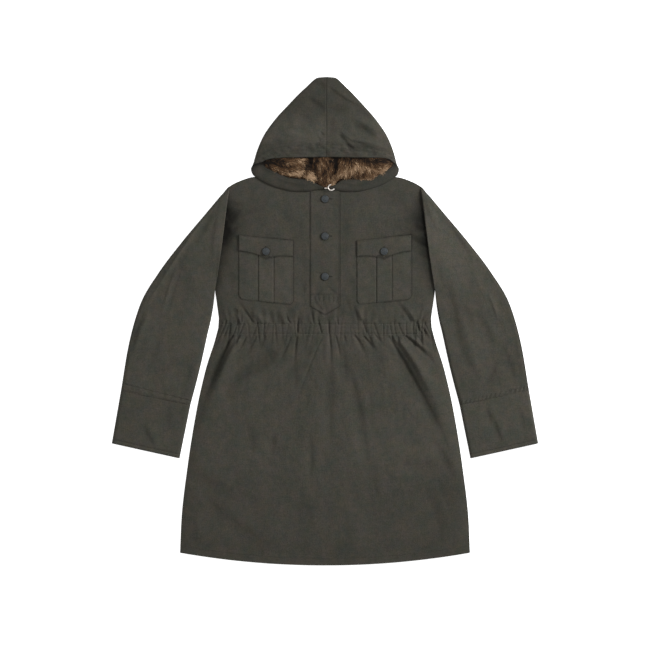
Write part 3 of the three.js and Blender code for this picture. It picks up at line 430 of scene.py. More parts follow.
def zip_rows(points, a, b):
    """Triangles between two rows of point numbers, paired by their share of the length in plan."""

    def shares(row):
        places = points[row][:, :2]
        steps = np.hypot(*np.diff(places, axis=0).T) + 1e-6
        total = np.concatenate([[0], np.cumsum(steps)])
        return total / total[-1]

    sa, sb = shares(a), shares(b)
    faces = []
    i = j = 0
    while i < len(a) - 1 or j < len(b) - 1:
        if j == len(b) - 1 or (i < len(a) - 1 and sa[i + 1] <= sb[j + 1] + 1e-9):
            faces.append((a[i], a[i + 1], b[j]))
            i += 1
        else:
            faces.append((a[i], b[j + 1], b[j]))
            j += 1
    return np.array(faces)


def grid_quads(index):
    a, b, c, d = index[:-1, :-1], index[:-1, 1:], index[1:, 1:], index[1:, :-1]
    return np.stack([a, b, c, d], -1).reshape(-1, 4)


def new_piece(name, points, faces, shade=None, smooth=True):
    """A mesh object from points in millimetres, with a shade for each point."""
    mesh = bpy.data.meshes.new(name)
    mesh.from_pydata((points.reshape(-1, 3) * MM).tolist(), [], faces)
    if smooth:
        mesh.shade_smooth()
    if shade is not None:
        values = shade.reshape(-1).astype(np.float32)
        mesh.attributes.new("shade", "FLOAT", "POINT").data.foreach_set("value", values)
    mesh.update()
    piece = bpy.data.objects.new(name, mesh)
    bpy.context.scene.collection.objects.link(piece)
    return piece


def make_mesh(name, points, quads, triangles, shade=None):
    """A smooth closed mesh object whose faces point out."""
    volume = 0
    for corners in (quads[:, [0, 1, 2]], quads[:, [0, 2, 3]], triangles):
        a, b, c = points[corners].transpose(1, 0, 2)
        volume += np.einsum("ij,ij->", a, np.cross(b, c))
    if volume < 0:
        quads = quads[:, ::-1]
        triangles = triangles[:, ::-1]
    return new_piece(name, points, quads.tolist() + triangles.tolist(), shade)


def wrapped(index):
    """A grid of point numbers whose first column comes again at its end."""
    return np.concatenate([index, index[:, :1]], axis=1)


def ringed(name, rings, ends):
    """A closed mesh over rings of points, with a point in the middle of each end."""
    count, around = rings.shape[:2]
    index = wrapped(np.arange(count * around).reshape(count, around))
    caps = []
    for k, row in enumerate((index[0][::-1], index[-1])):
        caps += [(count * around + k, a, b) for a, b in zip(row[:-1], row[1:])]
    return make_mesh(name, np.concatenate([rings.reshape(-1, 3), ends]), grid_quads(index), np.array(caps))


def shell(name, outer, inner, shade, closed=False):
    """A closed wall between an outer and an inner grid of points. Closed grids wrap round."""
    rows = [points.reshape(-1, 3) for points in (outer, inner)]
    points = np.concatenate(rows)
    numbers = np.arange(len(rows[0])).reshape(outer.shape[:2])
    behind = np.arange(len(rows[1])).reshape(inner.shape[:2]) + len(rows[0])
    if closed:
        numbers, behind = wrapped(numbers), wrapped(behind)
    quads = np.concatenate([grid_quads(numbers), grid_quads(behind)[:, ::-1]])
    sides = [(0, slice(None)), (-1, slice(None))]
    if not closed:
        sides += [(slice(None), 0), (slice(None), -1)]
    triangles = []
    for count, side in enumerate(sides):
        strip = zip_rows(points, numbers[side], behind[side])
        inside_out = (count // 2, count % 2) in {(0, 0), (1, 1)}
        triangles.append(strip if inside_out else strip[:, ::-1])
    shades = np.concatenate([shade.reshape(-1), np.full(len(rows[1]), 0.3)])
    return make_mesh(name, points, quads, np.concatenate(triangles), shades)


def grid(x, y, z):
    return np.stack(np.broadcast_arrays(x, y, z), -1).astype(float)


def every(count, pitch):
    """Every so many of a count of places, and the last one."""
    return np.r_[0:count:pitch, count - 1]


def coarse(points, rows, columns):
    return points[np.ix_(every(len(points), rows), every(points.shape[1], columns))]


def unit(vectors):
    return vectors / np.linalg.norm(vectors, axis=1)[:, None]


def dress(piece, material, slot, *nodes):
    """Gives a piece its material and the nodes that it stands for. The slot is not used."""
    piece.data.materials.append(material)
    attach(piece, "root")
    if nodes:
        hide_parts(*nodes)
    return piece


def panel(name, outer, inner, shade, material, slot="canvas", closed=False):
    """A dressed shell that stands for the node of the same name."""
    return dress(shell(name, outer, inner, shade, closed), material, slot, name.lower())


# Body

side_half = through(BODY_SIDE, "y", "half")
front_edge = through(FRONT_EDGE, "x", "y")
back_edge = through(BACK_EDGE, "x", "y")


def body_half(y):
    t = np.clip((SHOULDER[1] - y) / (SHOULDER[1] - ARMPIT[1]), 0, 1)
    armhole = SHOULDER[0] + (ARMPIT[0] - SHOULDER[0]) * t + ARMHOLE_BOW * np.sin(math.pi * t)
    return np.where(y <= ARMPIT[1], side_half(y), armhole)


def gathers(x, y):
    """Pleats of the waist casing, tighter towards the sides, and the shade in their valleys."""
    random = np.random.default_rng(41)
    waist = float(body_half(np.array(-18.0)))
    at_waist = x / body_half(y) * waist
    height = np.zeros_like(x)
    shade = np.zeros_like(x)
    place = -waist + 3
    while place < waist - 2:
        tight = 0.34 + 0.36 * step(abs(place), 70, 130) + 0.5 * step(abs(place), 180, 222)
        depth = random.uniform(0.8, 2.7) * tight
        width = random.uniform(1.3, 2.1)
        above = random.uniform(4, 20)
        below = random.uniform(8, 62)
        lean = random.uniform(-0.3, 0.3)
        dark = random.choice([0.12, 0.2, 0.42], p=[0.45, 0.35, 0.2]) * tight
        spread = width * (1 + np.clip(WAIST_BOTTOM - y, 0, 70) / 22 + np.clip(y - WAIST_TOP, 0, 30) / 14)
        away = (at_waist - place - lean * (y + 18)) / spread
        fade = (1 - step(y, WAIST_TOP, WAIST_TOP + above)) * step(y, WAIST_BOTTOM - below, WAIST_BOTTOM)
        height -= depth * fade * np.exp(-(away**2))
        shade += dark * fade * np.exp(-((away - 0.25) ** 2))
        place += random.uniform(5.5, 17.5) * (1.25 - 0.4 * tight)
    pinch = beside(y - WAIST_TOP, 1.8) + beside(y - WAIST_BOTTOM, 1.8)
    casing = step(y, WAIST_BOTTOM, WAIST_BOTTOM + 5) * (1 - step(y, WAIST_TOP - 5, WAIST_TOP))
    hang = soft_noise(at_waist, y / 9, 7.5, 43) * step(y, -330, -60) * (1 - step(y, -34, -30))
    puff = soft_noise(at_waist, y / 3.2, 8.5, 44) * (1 - step(y, 4, 46)) * step(y, WAIST_TOP, -2)
    hang *= 0.5 + 0.5 * soft_noise(x, y, 40, 45)
    height += 0.8 * hang + 1.5 * puff - 0.45 * pinch + 0.6 * casing
    return height, shade + 0.03 * np.clip(-hang, 0, 1) + 0.08 * np.clip(-puff, 0, 1)


def hollow(x, y):
    """The hollow of the front beside each sleeve's fold, darkened by painted shade; the same value sets its
    depth.
    """
    depth = np.zeros_like(x)
    away = np.clip(through(SLEEVE_FOLD, "y", "x")(y) - np.abs(x) + 1, 0, 400)
    for sign, rows in HOLLOWS.items():
        dark, width = (through(rows, "y", name)(y) for name in ("dark", "width"))
        here = x < 0 if sign < 0 else x >= 0
        depth += np.where(here, dark * np.exp(-((away / width) ** 1.7)), 0)
    return depth * (1 + 0.12 * soft_noise(x, y, 17, 50) + 0.1 * soft_noise(x, y, 7, 51))


def painted_edge_shade(x, y):
    """Painted shade of the front along the edges of the placket and the pockets: a painted shadow line
    beside each edge, stronger on the edges that face the light, where the lamp throws none.
    """
    flank = beside(np.abs(x) - PLACKET_HALF, 1.5) * (y > PLACKET_SHOULDER) * np.where(x > 0, 1.2, 0.22)
    tip = y - PLACKET_TIP - (PLACKET_SHOULDER - PLACKET_TIP) * np.abs(x) / PLACKET_HALF
    point = beside(tip * 0.87, 1.5) * (np.abs(x) <= PLACKET_HALF)
    across = np.abs(x) - POCKET_X
    v = y - POCKET_SLOPE * across
    corner = np.where(v > 100, 0, POCKET_CORNER)
    side = np.abs(across) - POCKET_HALF + corner
    level = np.abs(v - (POCKET_TOP + POCKET_BOTTOM) / 2) - (POCKET_TOP - POCKET_BOTTOM) / 2 + corner
    outside = np.hypot(np.maximum(side, 0), np.maximum(level, 0)) - corner
    pocket = outside + np.minimum(np.maximum(side, level), 0)
    lit_side = np.where(np.abs(x) > POCKET_X, x > 0, x < 0)
    return np.maximum(np.maximum(flank, 0.7 * point), beside(pocket - 0.3, 1.6) * (0.16 + 0.89 * lit_side))


def seat_shade(x, y):
    """Broad painted shade and painted light over the front: darker low on the skirt, lighter down its
    middle.
    """
    low = step(-y, 300, 400) * 0.09
    right_low = 0.14 * patch(x, y, 285, -400, 55, 80)
    middle = 0.05 * patch(x, y, 110, -270, 60, 90)
    left = 0.03 * patch(x, y, -200, -180, 60, 70)
    centre = 0.04 * beside(x + 42, 16) * step(y, 20, 60)
    return low + right_low - middle - left - centre - 0.05 * step(-y, 60, 160) + 0.02 * step(y, 0, 60)


def side_rim(u):
    """1 over the body, falling to 0 just inside its sides."""
    return 1 - np.abs(u) ** 18


def front_surface(x, y):
    """Height and shade of the front at a place."""
    u = np.abs(x) / body_half(y)
    hem = HEM_CORNER_Y - HEM_DROP * (1 - u * u)
    crown = 1.2 + 4 * step(y, hem + 4, hem + 60) * (1 - step(y, 225, 290))
    fan, fan_shade = fold_field(x, y, SKIRT_FOLDS + [turned(fold) for fold in BLOUSON_FOLDS], fan=True)
    fold, fold_shade = fold_field(x, y, LOWER_FOLDS + CHEST_FOLDS)
    gather, gather_shade = gathers(x, y)
    dark = hollow(x, y)
    wrinkle = crumple(x, y, 5, 1.6) * (1 - step(y, 270, 292))
    lift = crown + fan + fold + gather + wrinkle - 2 * dark
    turned_hem = 0.5 * (1 - step(y, hem + 17, hem + 19))
    loft = np.maximum(lift, 0.15 * np.tanh(lift)) * side_rim(u) + turned_hem
    shade = fan_shade + fold_shade + gather_shade + dark + seat_shade(x, y)
    return FRONT_FLAT + loft, np.clip(shade, *SHADE_RANGE)


def body_plan(u, level, upper_edge):
    half = body_half(level)
    top_fade = step(level, 190, SHOULDER[1])
    hem_fade = 1 - step(level, HEM_CORNER_Y, -335)
    y = level + (upper_edge(np.abs(u) * SHOULDER[0]) - SHOULDER[1]) * top_fade
    y = y - HEM_DROP * (1 - u * u) * hem_fade
    return u * half, y


def stretched(*stops):
    """Values in even runs: each stop is (value, steps to the next stop)."""
    runs = [np.linspace(a[0], b[0], a[1], endpoint=False) for a, b in zip(stops, stops[1:])]
    return np.concatenate(runs + [[stops[-1][0]]])


def front(material):
    u = np.r_[-1, -0.997, -0.99, np.linspace(-0.982, 0.982, 280), 0.99, 0.997, 1]
    level = stretched(
        (SHOULDER[1], 84), (ARMPIT[1], 30), (14, 58), (-62, 46), (-160, 88), (-508, 8), (HEM_CORNER_Y, 0)
    )
    u, level = np.meshgrid(u, level)
    x, y = body_plan(u, level, front_edge)
    z, shade = front_surface(x, y)
    shade = np.clip(shade + 0.4 * painted_edge_shade(x, y), *SHADE_RANGE)
    outer = grid(x, y, z)
    level = stretched((SHOULDER[1], 20), (14, 8), (-62, 24), (HEM_CORNER_Y, 0))
    u, level = np.meshgrid(np.linspace(-1, 1, 50), level)
    x, y = body_plan(u, level, front_edge)
    inner = grid(x, y, BACK_TOP + LAYER_GAP + 0.1 * side_rim(u))
    return panel("Front", outer, inner, shade, material)


def back(material):
    """The back's outside lies on the surface, with shallow creases and a gathered casing."""
    level = stretched((SHOULDER[1], 60), (14, 44), (-62, 70), (HEM_CORNER_Y, 0))
    u, level = np.meshgrid(np.linspace(-1, 1, 150), level)
    x, y = body_plan(u, level, back_edge)
    fold, shade = fold_field(-x, y, SKIRT_FOLDS, fan=True)
    gather, valley = gathers(x, y)
    dent = np.clip(0.25 - 0.2 * fold - 0.25 * gather + 0.16 * crumple(x, y, 60, 1.6), 0, 0.8)
    outer = grid(x, y, dent * side_rim(u))
    u, level = np.meshgrid(np.linspace(-1, 1, 40), np.linspace(SHOULDER[1], HEM_CORNER_Y, 40))
    x, y = body_plan(u, level, back_edge)
    inner = grid(x, y, BACK_TOP)
    return panel("Back", outer, inner, np.clip(shade + valley, 0, 0.5), material)


# What lies on the front

def lies_on_front(x, y):
    return front_surface(x, y)[0]


def edge_round(distance, radius=1.5):
    """Share of the thickness near a cut edge, which turns down."""
    d = np.clip(distance / radius, 0, 1)
    return np.sqrt(1 - (1 - d) ** 2)


def placket_surface(x, y):
    edge = PLACKET_HALF - np.abs(x)
    point = (y - (PLACKET_TIP + (PLACKET_SHOULDER - PLACKET_TIP) * np.abs(x) / PLACKET_HALF)) * 0.8
    rim = np.minimum(edge, point)
    dents, shade = fold_field(x, y, PLACKET_FOLDS)
    lift = 0.35 + 0.9 * edge_round(rim) + dents + 0.25 * crumple(x, y, 22)
    # Painted shade along the placket's edges and its box stitching, and painted shadow round each button
    edge_shade = np.where(x > 0, 0.42, 0.2) * beside(rim, 1.5) + 0.14 * beside(y - PLACKET_BOX + 1, 1.3)
    rings = sum(button_ring(x, y - level) for level in BUTTON_LEVELS)
    return lies_on_front(x, y) + np.maximum(lift, 0.3), shade + edge_shade + rings


PLACKET_FOLDS = fold_rows(
    (-31, 54, -16, 62, -6, 76, 3.4, -0.9, 0.1), (31, 60, 16, 68, 4, 80, 3.4, -0.9, 0.1),
    (-26, 110, -12, 106, -4, 98, 3, -0.7, 0.08), (32, 98, 20, 90, 10, 84, 3, -0.7, 0.08),
    (30, 272, 14, 266, 4, 268, 4, -0.7, 0.08), (-30, 276, -18, 270, -8, 272, 4, -0.6, 0.06),
    (-24, 58, -22, 46, -19, 34, 2.2, -0.9, 0.09), (-14, 59, -14, 50, -12, 42, 2, -0.8, 0.08),
    (-4, 60, -4, 48, -3, 38, 2, -0.9, 0.08), (8, 60, 8, 50, 7, 42, 2, -0.8, 0.08),
    (18, 59, 18, 48, 16, 38, 2.2, -0.9, 0.09), (27, 58, 27, 50, 26, 42, 2, -0.6, 0.06),
    (-30, 60, -14, 34, -2, 22, 3, -0.7, 0.08), (0, 200, 2, 150, -2, 110, 12, 0.8),
)


def placket(material):
    u = np.r_[-1, -0.99, -0.97, np.linspace(-0.95, 0.95, 54), 0.97, 0.99, 1]
    level = np.r_[np.linspace(PLACKET_TOP, PLACKET_SHOULDER + 30, 150), np.linspace(62, 34, 22)]
    low = PLACKET_TIP + (PLACKET_SHOULDER - PLACKET_TIP) * np.abs(u)
    rows = [np.full_like(u, v) for v in level]
    rows += [PLACKET_SHOULDER + (low - PLACKET_SHOULDER) * share for share in np.linspace(0.05, 1, 16)]
    y = np.array(rows)
    x = np.broadcast_to(u * PLACKET_HALF, y.shape)
    z, shade = placket_surface(x, y)
    cut = every(len(x), 10)
    inner = grid(x[cut][:, ::6], y[cut][:, ::6], lies_on_front(x[cut][:, ::6], y[cut][:, ::6]) + 0.15)
    inner[:, -1, :2] = np.stack([x[cut][:, -1], y[cut][:, -1]], -1)
    return panel("Placket", grid(x, y, z), inner, shade, material)


def pocket_place(u, v, side):
    """Plan of a pocket: v is its level at the middle, and u its share of the half width."""
    rise = np.minimum(POCKET_CORNER, v - POCKET_BOTTOM)
    inset = POCKET_CORNER - np.sqrt(np.maximum(0, POCKET_CORNER**2 - (POCKET_CORNER - rise) ** 2))
    across = u * POCKET_HALF - np.sign(u) * inset * step(np.abs(u), 0.55, 1)
    return side * (POCKET_X + across), v + POCKET_SLOPE * across


def button_ring(x, y):
    """The shade that a button throws just round itself, deeper on the side away from the light."""
    away = np.hypot(x + 0.6, y + 0.4) - BUTTON_RADIUS + 0.9
    return 0.34 * beside(away, 1.5)


POCKET_RIM = np.array([1, 0.99, 0.975])
FLAP_EDGE = table("u v", (0, 139.5), (0.12, 142.6), (0.28, 146), (0.6, 149.8), (1, 151.6))
flap_edge = through(FLAP_EDGE, "u", "v")


def bag_lift(u, v):
    """Thickness of a pocket bag over the front, with its box pleat and the grooves beside it."""
    edge = np.minimum((1 - np.abs(u)) * POCKET_HALF, v - POCKET_BOTTOM)
    puff = 1.1 * step(edge, 0, 26)
    groove = beside((np.abs(u) - PLEAT_AT) * POCKET_HALF, 1.3)
    pleat = 0.55 * (1 - step(np.abs(u), PLEAT_AT - 0.03, PLEAT_AT))
    lift = 0.3 + 0.8 * edge_round(edge) + puff + pleat - 1.2 * groove
    # Painted shadow under the flap's edge, painted shade in the pleat's grooves and along the bag's edges,
    # on a bag a little lighter in tone
    under_flap = 0.46 * beside(np.clip(flap_edge(np.abs(u)) - v, 0, 90), 2.2)
    shade = 0.28 * groove + 0.26 * beside(edge, 1.4) + under_flap - 0.08
    return np.maximum(lift, 0.3), shade


def pocket_bag(side, name, material):
    u = np.r_[-POCKET_RIM, np.linspace(-0.95, 0.95, 90), POCKET_RIM[::-1]]
    v = np.r_[np.linspace(POCKET_TOP - 5, 58, 60), np.linspace(56, POCKET_BOTTOM, 16)]
    u, v = np.meshgrid(u, v)
    x, y = pocket_place(u, v, side)
    lift, shade = bag_lift(u, v)
    z = lies_on_front(x, y) + lift + 0.22 * crumple(x, y, 33)
    coarse_x, coarse_y = coarse(x, 8, 8), coarse(y, 8, 8)
    inner = grid(coarse_x, coarse_y, lies_on_front(coarse_x, coarse_y) + 0.12)
    return panel(f"Pocket_{name}", grid(x, y, z), inner, shade, material)


def flap_surface(u, v, side):
    x, y = pocket_place(u, v, side)
    low = v - flap_edge(np.abs(u))
    edge = np.minimum((1 - np.abs(u)) * POCKET_HALF, low)
    edge = np.minimum(edge, POCKET_TOP - v + 0.6)
    pull = 0.8 * beside(np.hypot(u * POCKET_HALF, v - FLAP_BUTTON_LEVEL), 16)
    z = lies_on_front(x, y) + 1.8 + 0.8 * step(edge, 0, 14) + 1.1 * edge_round(edge, 1.8) - pull
    # Painted shade along the flap's edges and painted shadow round its button, on a flap a little lighter in
    # tone
    shade = 0.46 * beside(edge, 1.4) - 0.07 + button_ring(u * POCKET_HALF, v - FLAP_BUTTON_LEVEL)
    return x, y, z + 0.16 * crumple(x, y, 44), shade


def pocket_flap(side, name, material):
    u = np.r_[-POCKET_RIM, np.linspace(-0.95, 0.95, 80), POCKET_RIM[::-1]]
    share = np.r_[0, 0.03, np.linspace(0.08, 0.92, 24), 0.96, 0.985, 1]
    u, share = np.meshgrid(u, share)
    v = POCKET_TOP + (flap_edge(np.abs(u)) - POCKET_TOP) * share
    x, y, z, shade = flap_surface(u, v, side)
    inner = coarse(grid(x, y, z), 7, 7)
    inner[..., 2] -= np.where(coarse(shade, 7, 7) > 0.2, 0.35, 1.1)
    return panel(f"Flap_{name}", grid(x, y, z), inner, shade, material)


# Sleeves and cuffs

# Height of a flattened tube at its fold, and how far its top stands over that
EDGE_Z = 1.8
SLEEVE_LOFT = 6.2


def tube_plan(sections, s, t, bow=0.0):
    """Plan of a tube on the right side: s runs down it, and t from its outer fold to its inner one."""
    names = ("outer_x", "outer_y", "inner_x", "inner_y")
    outer_x, outer_y, inner_x, inner_y = (through(sections, "at", name)(s) for name in names)
    return outer_x + (inner_x - outer_x) * t + bow, outer_y + (inner_y - outer_y) * t


def sleeve_top(side, s, t):
    inward = -(3.2 * np.sin(math.pi * t) + 4.6 * (1 - t) ** 5) * (1 - step(s, 0, 0.05))
    x, y = tube_plan(SLEEVE, s, t, inward)
    x = side * x
    fold, shade = fold_field(x, y, SLEEVE_FOLDS[side])
    width = 150 + 40 * np.sin(math.pi * s)
    edge = np.minimum(t, 1 - t) * width
    share = edge_round(edge, 9)
    loft = SLEEVE_LOFT + 1.6 * np.sin(math.pi * t) + fold + 1.1 * crumple(x, y, 80 + side, 1.5)
    lip = edge_round(s * SLEEVE_LENGTH, 3)
    seat = lies_on_front(x, y) + 0.6
    full = np.maximum(EDGE_Z + loft, 2.6)
    start = np.maximum(seat + 3.6, full) * (1 - step(s, 0.02, 0.14)) + full * step(s, 0.02, 0.14)
    z = EDGE_Z + (seat + (start - seat) * lip - EDGE_Z) * share
    seam, seam_shade = seam_relief(s, t, side)
    # Painted shade along both folded edges of the sleeve, and on the right sleeve more painted shade on its
    # outer edge, which faces the light
    shade = shade + 0.12 * beside(edge, 3) + seam_shade
    if side > 0:
        shade = shade + 0.3 * beside(t * width, 4.5) + 0.14 * beside(t * width, 13)
    return x, y, z + seam * share, shade


def seam_relief(s, t, side):
    """Puckered band above the cuff seam: slanted and dense on the right, two soft rows on the left."""
    below = (1 - s) * SLEEVE_LENGTH
    if side > 0:
        wave = np.sin(2 * math.pi * (t * 15.5 + below * 0.05 + 0.25 * np.sin(9 * t)))
        band = beside(below - 7, 5)
        uneven = 0.35 + 0.65 * np.abs(np.sin(7 * t + 1))
        height = 0.7 * wave * band * uneven
        # Painted shade in the puckers' troughs and painted highlight on their crests
        shade = (0.09 * np.clip(-wave, 0, 1) ** 2 - 0.06 * np.clip(wave, 0, 1) ** 2) * band * uneven
    else:
        wave = np.sin(2 * math.pi * (t * 11 + 0.4 * np.sin(5 * t)))
        from_row = below - LEFT_SLEEVE_ROW
        rows = beside(from_row, 2.4) + 0.6 * beside(below - 9, 3)
        height = 0.5 * wave * rows - 0.8 * beside(from_row, 1.6)
        patchy = 0.2 + 0.8 * np.abs(np.cos(2.6 * t + 0.3)) ** 2
        # Painted shade along the stitched row, patchy, and in the puckers' troughs
        shade = 0.12 * beside(from_row, 1.7) * patchy + 0.06 * np.clip(-wave, 0, 1) * rows
        height = height * (0.4 + 0.6 * patchy)
    # Painted shade in the dip at the seam
    drop = beside(below, 1.8) * (0.5 if side < 0 else 1)
    return height - 0.5 * drop, shade + 0.05 * drop


def cuff_top(side, s, t):
    x, y = tube_plan(CUFF, s, t)
    x = side * x
    fold, shade = fold_field(x, y, CUFF_FOLDS[side])
    down, below = s * CUFF_LENGTH, (1 - s) * CUFF_LENGTH
    edge = np.minimum(t, 1 - t) * CUFF_WIDTH
    loft = SLEEVE_LOFT - 0.6 + 1.2 * np.sin(math.pi * t) + fold + 0.6 * crumple(x, y, 90 + side, 1.3)
    drop = 0.5 * beside(down, 1.8) + 0.7 * beside(below - CUFF_ROW, 1.6)
    z = EDGE_Z + (loft - drop) * edge_round(edge, 8) * (0.75 + 0.25 * edge_round(below, 2.5))
    # Painted shade along the folded edges, at the seam, along the stitched row and at the end, on a cuff a
    # little lighter in tone
    shade = shade + 0.1 * beside(edge, 3) + 0.05 * beside(down, 1.8) - 0.07
    return x, y, z, shade + 0.1 * beside(below - CUFF_ROW, 1.4) + 0.12 * beside(below, 1.5)


def flat_tube(name, side, top, plan_bow, shares, columns, inner_shares, sections, material):
    """A flattened tube: rings over the top surface and back underneath, with a plain inside."""

    def flat(shares, across):
        s, t = np.meshgrid(shares, across, indexing="ij")
        x, y = tube_plan(sections, s, t, plan_bow(s) * np.sin(math.pi * t))
        return x, y, t

    even = (1 - np.cos(np.linspace(0.03, math.pi - 0.03, columns))) / 2
    across = 0.35 * even + 0.65 * np.linspace(even[0], even[-1], columns)
    x, y, z, shade = top(*np.meshgrid(shares, across, indexing="ij"))
    low_x, low_y, t = flat(shares, np.linspace(0.995, 0.005, 16))
    dent = np.clip(0.3 + 0.35 * crumple(low_x, low_y, 70, 1.5), 0, 0.7) * np.sin(math.pi * t)
    outer = np.concatenate([grid(x, y, z), grid(side * low_x, low_y, dent)], axis=1)
    # Painted shade on the underside just round the outer fold
    shades = np.concatenate([shade, 0.45 * beside(t, 0.06)], axis=1)

    across = np.linspace(0.04, 0.96, 10)
    x, y, z, _ = top(*np.meshgrid(inner_shares, across, indexing="ij"))
    low_x, low_y, _ = flat(inner_shares, across)
    lower = grid(side * low_x, low_y, CLOTH)[:, ::-1]
    inner = np.concatenate([grid(x, y, np.maximum(z - 2.6, 1.75)), lower], axis=1)
    return panel(name, outer, inner, shades, material, closed=True)


def left_sleeve_tone(x, y):
    return -0.11 + 0.03 * soft_noise(x, y, 60, 91)


# Painted highlight on the upper part of the right sleeve, on the side the light comes from, and the whole
# sleeve a little lighter in tone
def right_sleeve_tone_and_highlight(x, y):
    return -0.25 * patch(x, y, 290, 150, 60, 110) - 0.17 * patch(x, y, 232, 240, 40, 90) - 0.05


SLEEVE_TONES_AND_HIGHLIGHT = {-1: left_sleeve_tone, 1: right_sleeve_tone_and_highlight}


def sleeve(side, name, material):
    shares = np.r_[0, 0.0015, 0.004, 0.008, 0.013, np.linspace(0.02, 0.95, 150), np.linspace(0.953, 1, 28)]
    inner = np.r_[0.012, np.linspace(0.05, 0.99, 18)]

    def top(s, t):
        x, y, z, shade = sleeve_top(side, s, t)
        return x, y, z, shade + SLEEVE_TONES_AND_HIGHLIGHT[side](x, y)

    def bow(s):
        return ARMHOLE_BOW * (1 - step(s, 0, 0.22))

    return flat_tube(f"Sleeve_{name}", side, top, bow, shares, 96, inner, SLEEVE, material)


def cuff(side, name, material):
    shares = np.r_[np.linspace(0, 0.06, 8), np.linspace(0.08, 0.9, 36), np.linspace(0.915, 1, 12)]
    inner = np.linspace(0.02, 0.98, 8)
    top = partial(cuff_top, side)
    return flat_tube(f"Cuff_{name}", side, top, np.zeros_like, shares, 84, inner, CUFF, material)


# Hood

def hood_side(side):
    """Curves through the hood's rows, with that side's own mouth."""
    rows = {name: values.copy() for name, values in HOOD.items()}
    for name in ("rim_x", "rim_y", "fold_y"):
        rows[name][MOUTH[side]["row"].astype(int)] = MOUTH[side][name]
    return {name: through(rows, "at", name) for name in rows if name != "at"}


HOOD_SIDES = {side: hood_side(side) for side in (-1, 1)}
CASING_DEPTH = 34
CASING_AT_CORNER = 22
HOOD_WALL = 2.2
HOOD_FLOOR = 1.3


def hood_line(t, s, side):
    """Plan from the face opening (s = 0) to the outer fold (s = 1), as if it were the right side."""
    hood_at = HOOD_SIDES[side]
    x = hood_at["rim_x"](t) * (1 - s) + hood_at["fold_x"](t) * s
    y = hood_at["rim_y"](t) * (1 - s) + hood_at["fold_y"](t) * s
    return x, y


def hood_length(t, side):
    hood_at = HOOD_SIDES[side]
    return np.hypot(hood_at["fold_x"](t) - hood_at["rim_x"](t), hood_at["fold_y"](t) - hood_at["rim_y"](t))


def seam_side(x, side):
    return side * x + SEAM_X * (1 - x / HOOD_HALF)


def hood_top(t, s, side):
    hood_at = HOOD_SIDES[side]
    flat_x, y = hood_line(t, s, side)
    x = seam_side(flat_x, side)
    a, b, c = (hood_at[name](t) for name in ("rim_z", "mid_z", "edge_z"))
    smooth = a * (1 - s) * (1 - 2 * s) + b * 4 * s * (1 - s) + c * s * (2 * s - 1)
    fold, shade = fold_field(x, y, HOOD_FOLDS)
    length = hood_length(t, side)
    from_rim = s * length
    from_fold = (1 - s) * length
    upper = 1 - step(t, CORNER, CORNER + 0.012)
    tucked = (1 - upper) * (1 - step(t, CORNER + 0.02, CORNER + 0.14))
    seam = beside(flat_x, 1.1) * upper
    rim = edge_round(from_rim, 2.6)
    turn = edge_round(from_fold, 7)
    under = hood_at["under_z"](t)
    wrinkle = crumple(x, y, 12) * (0.75 + 0.4 * upper)
    seam_y = beside(from_rim - CASING_DEPTH, 2) * upper * 0.5
    lift = smooth + fold + wrinkle - 0.5 * seam + 0.5 * beside(flat_x, 6) * upper - seam_y
    lift = lift + 1.3 * upper * step(t, CORNER - 0.12, CORNER) - 1.2 * tucked
    z = under + 2 + (lift - under - 2) * turn - 2.2 * (1 - rim)
    # Painted shade in the centre seam, along the face opening's turned rim and beside the outer fold, and
    # painted shadow where the collar tucks under the hood's edge
    shade = shade + 0.26 * seam + 0.22 * (1 - rim) + 0.06 * beside(from_fold, 4) + 0.5 * tucked**2
    # Painted shade along the collar band's fold
    band_edge = beside(from_fold, 2.4) * (1 - upper)
    low = step(y, 490, 430) * step(y, 394, 406)
    tone = 0.06 + 0.08 * step(y, 430, 490) - (0.25 if side < 0 else 0.09) * low * upper
    # The collar a little darker in tone, with painted shadow under the fur along its rim
    collar_tone_and_shadow = (0.15 if side < 0 else 0.1) + 0.2 * beside(from_rim, 8)
    return x, y, z, shade + tone + 0.15 * band_edge + collar_tone_and_shadow * (1 - upper)


def hood_back(t, s, side):
    """The hood's underside, from its fold (s = 0) to where it ends."""
    hood_at = HOOD_SIDES[side]
    fold_x, fold_y, end_x, end_y = (hood_at[name](t) for name in ("fold_x", "fold_y", "end_x", "end_y"))
    x = seam_side(fold_x + (end_x - fold_x) * s, side)
    return x, fold_y + (end_y - fold_y) * s, hood_at["under_z"](t)


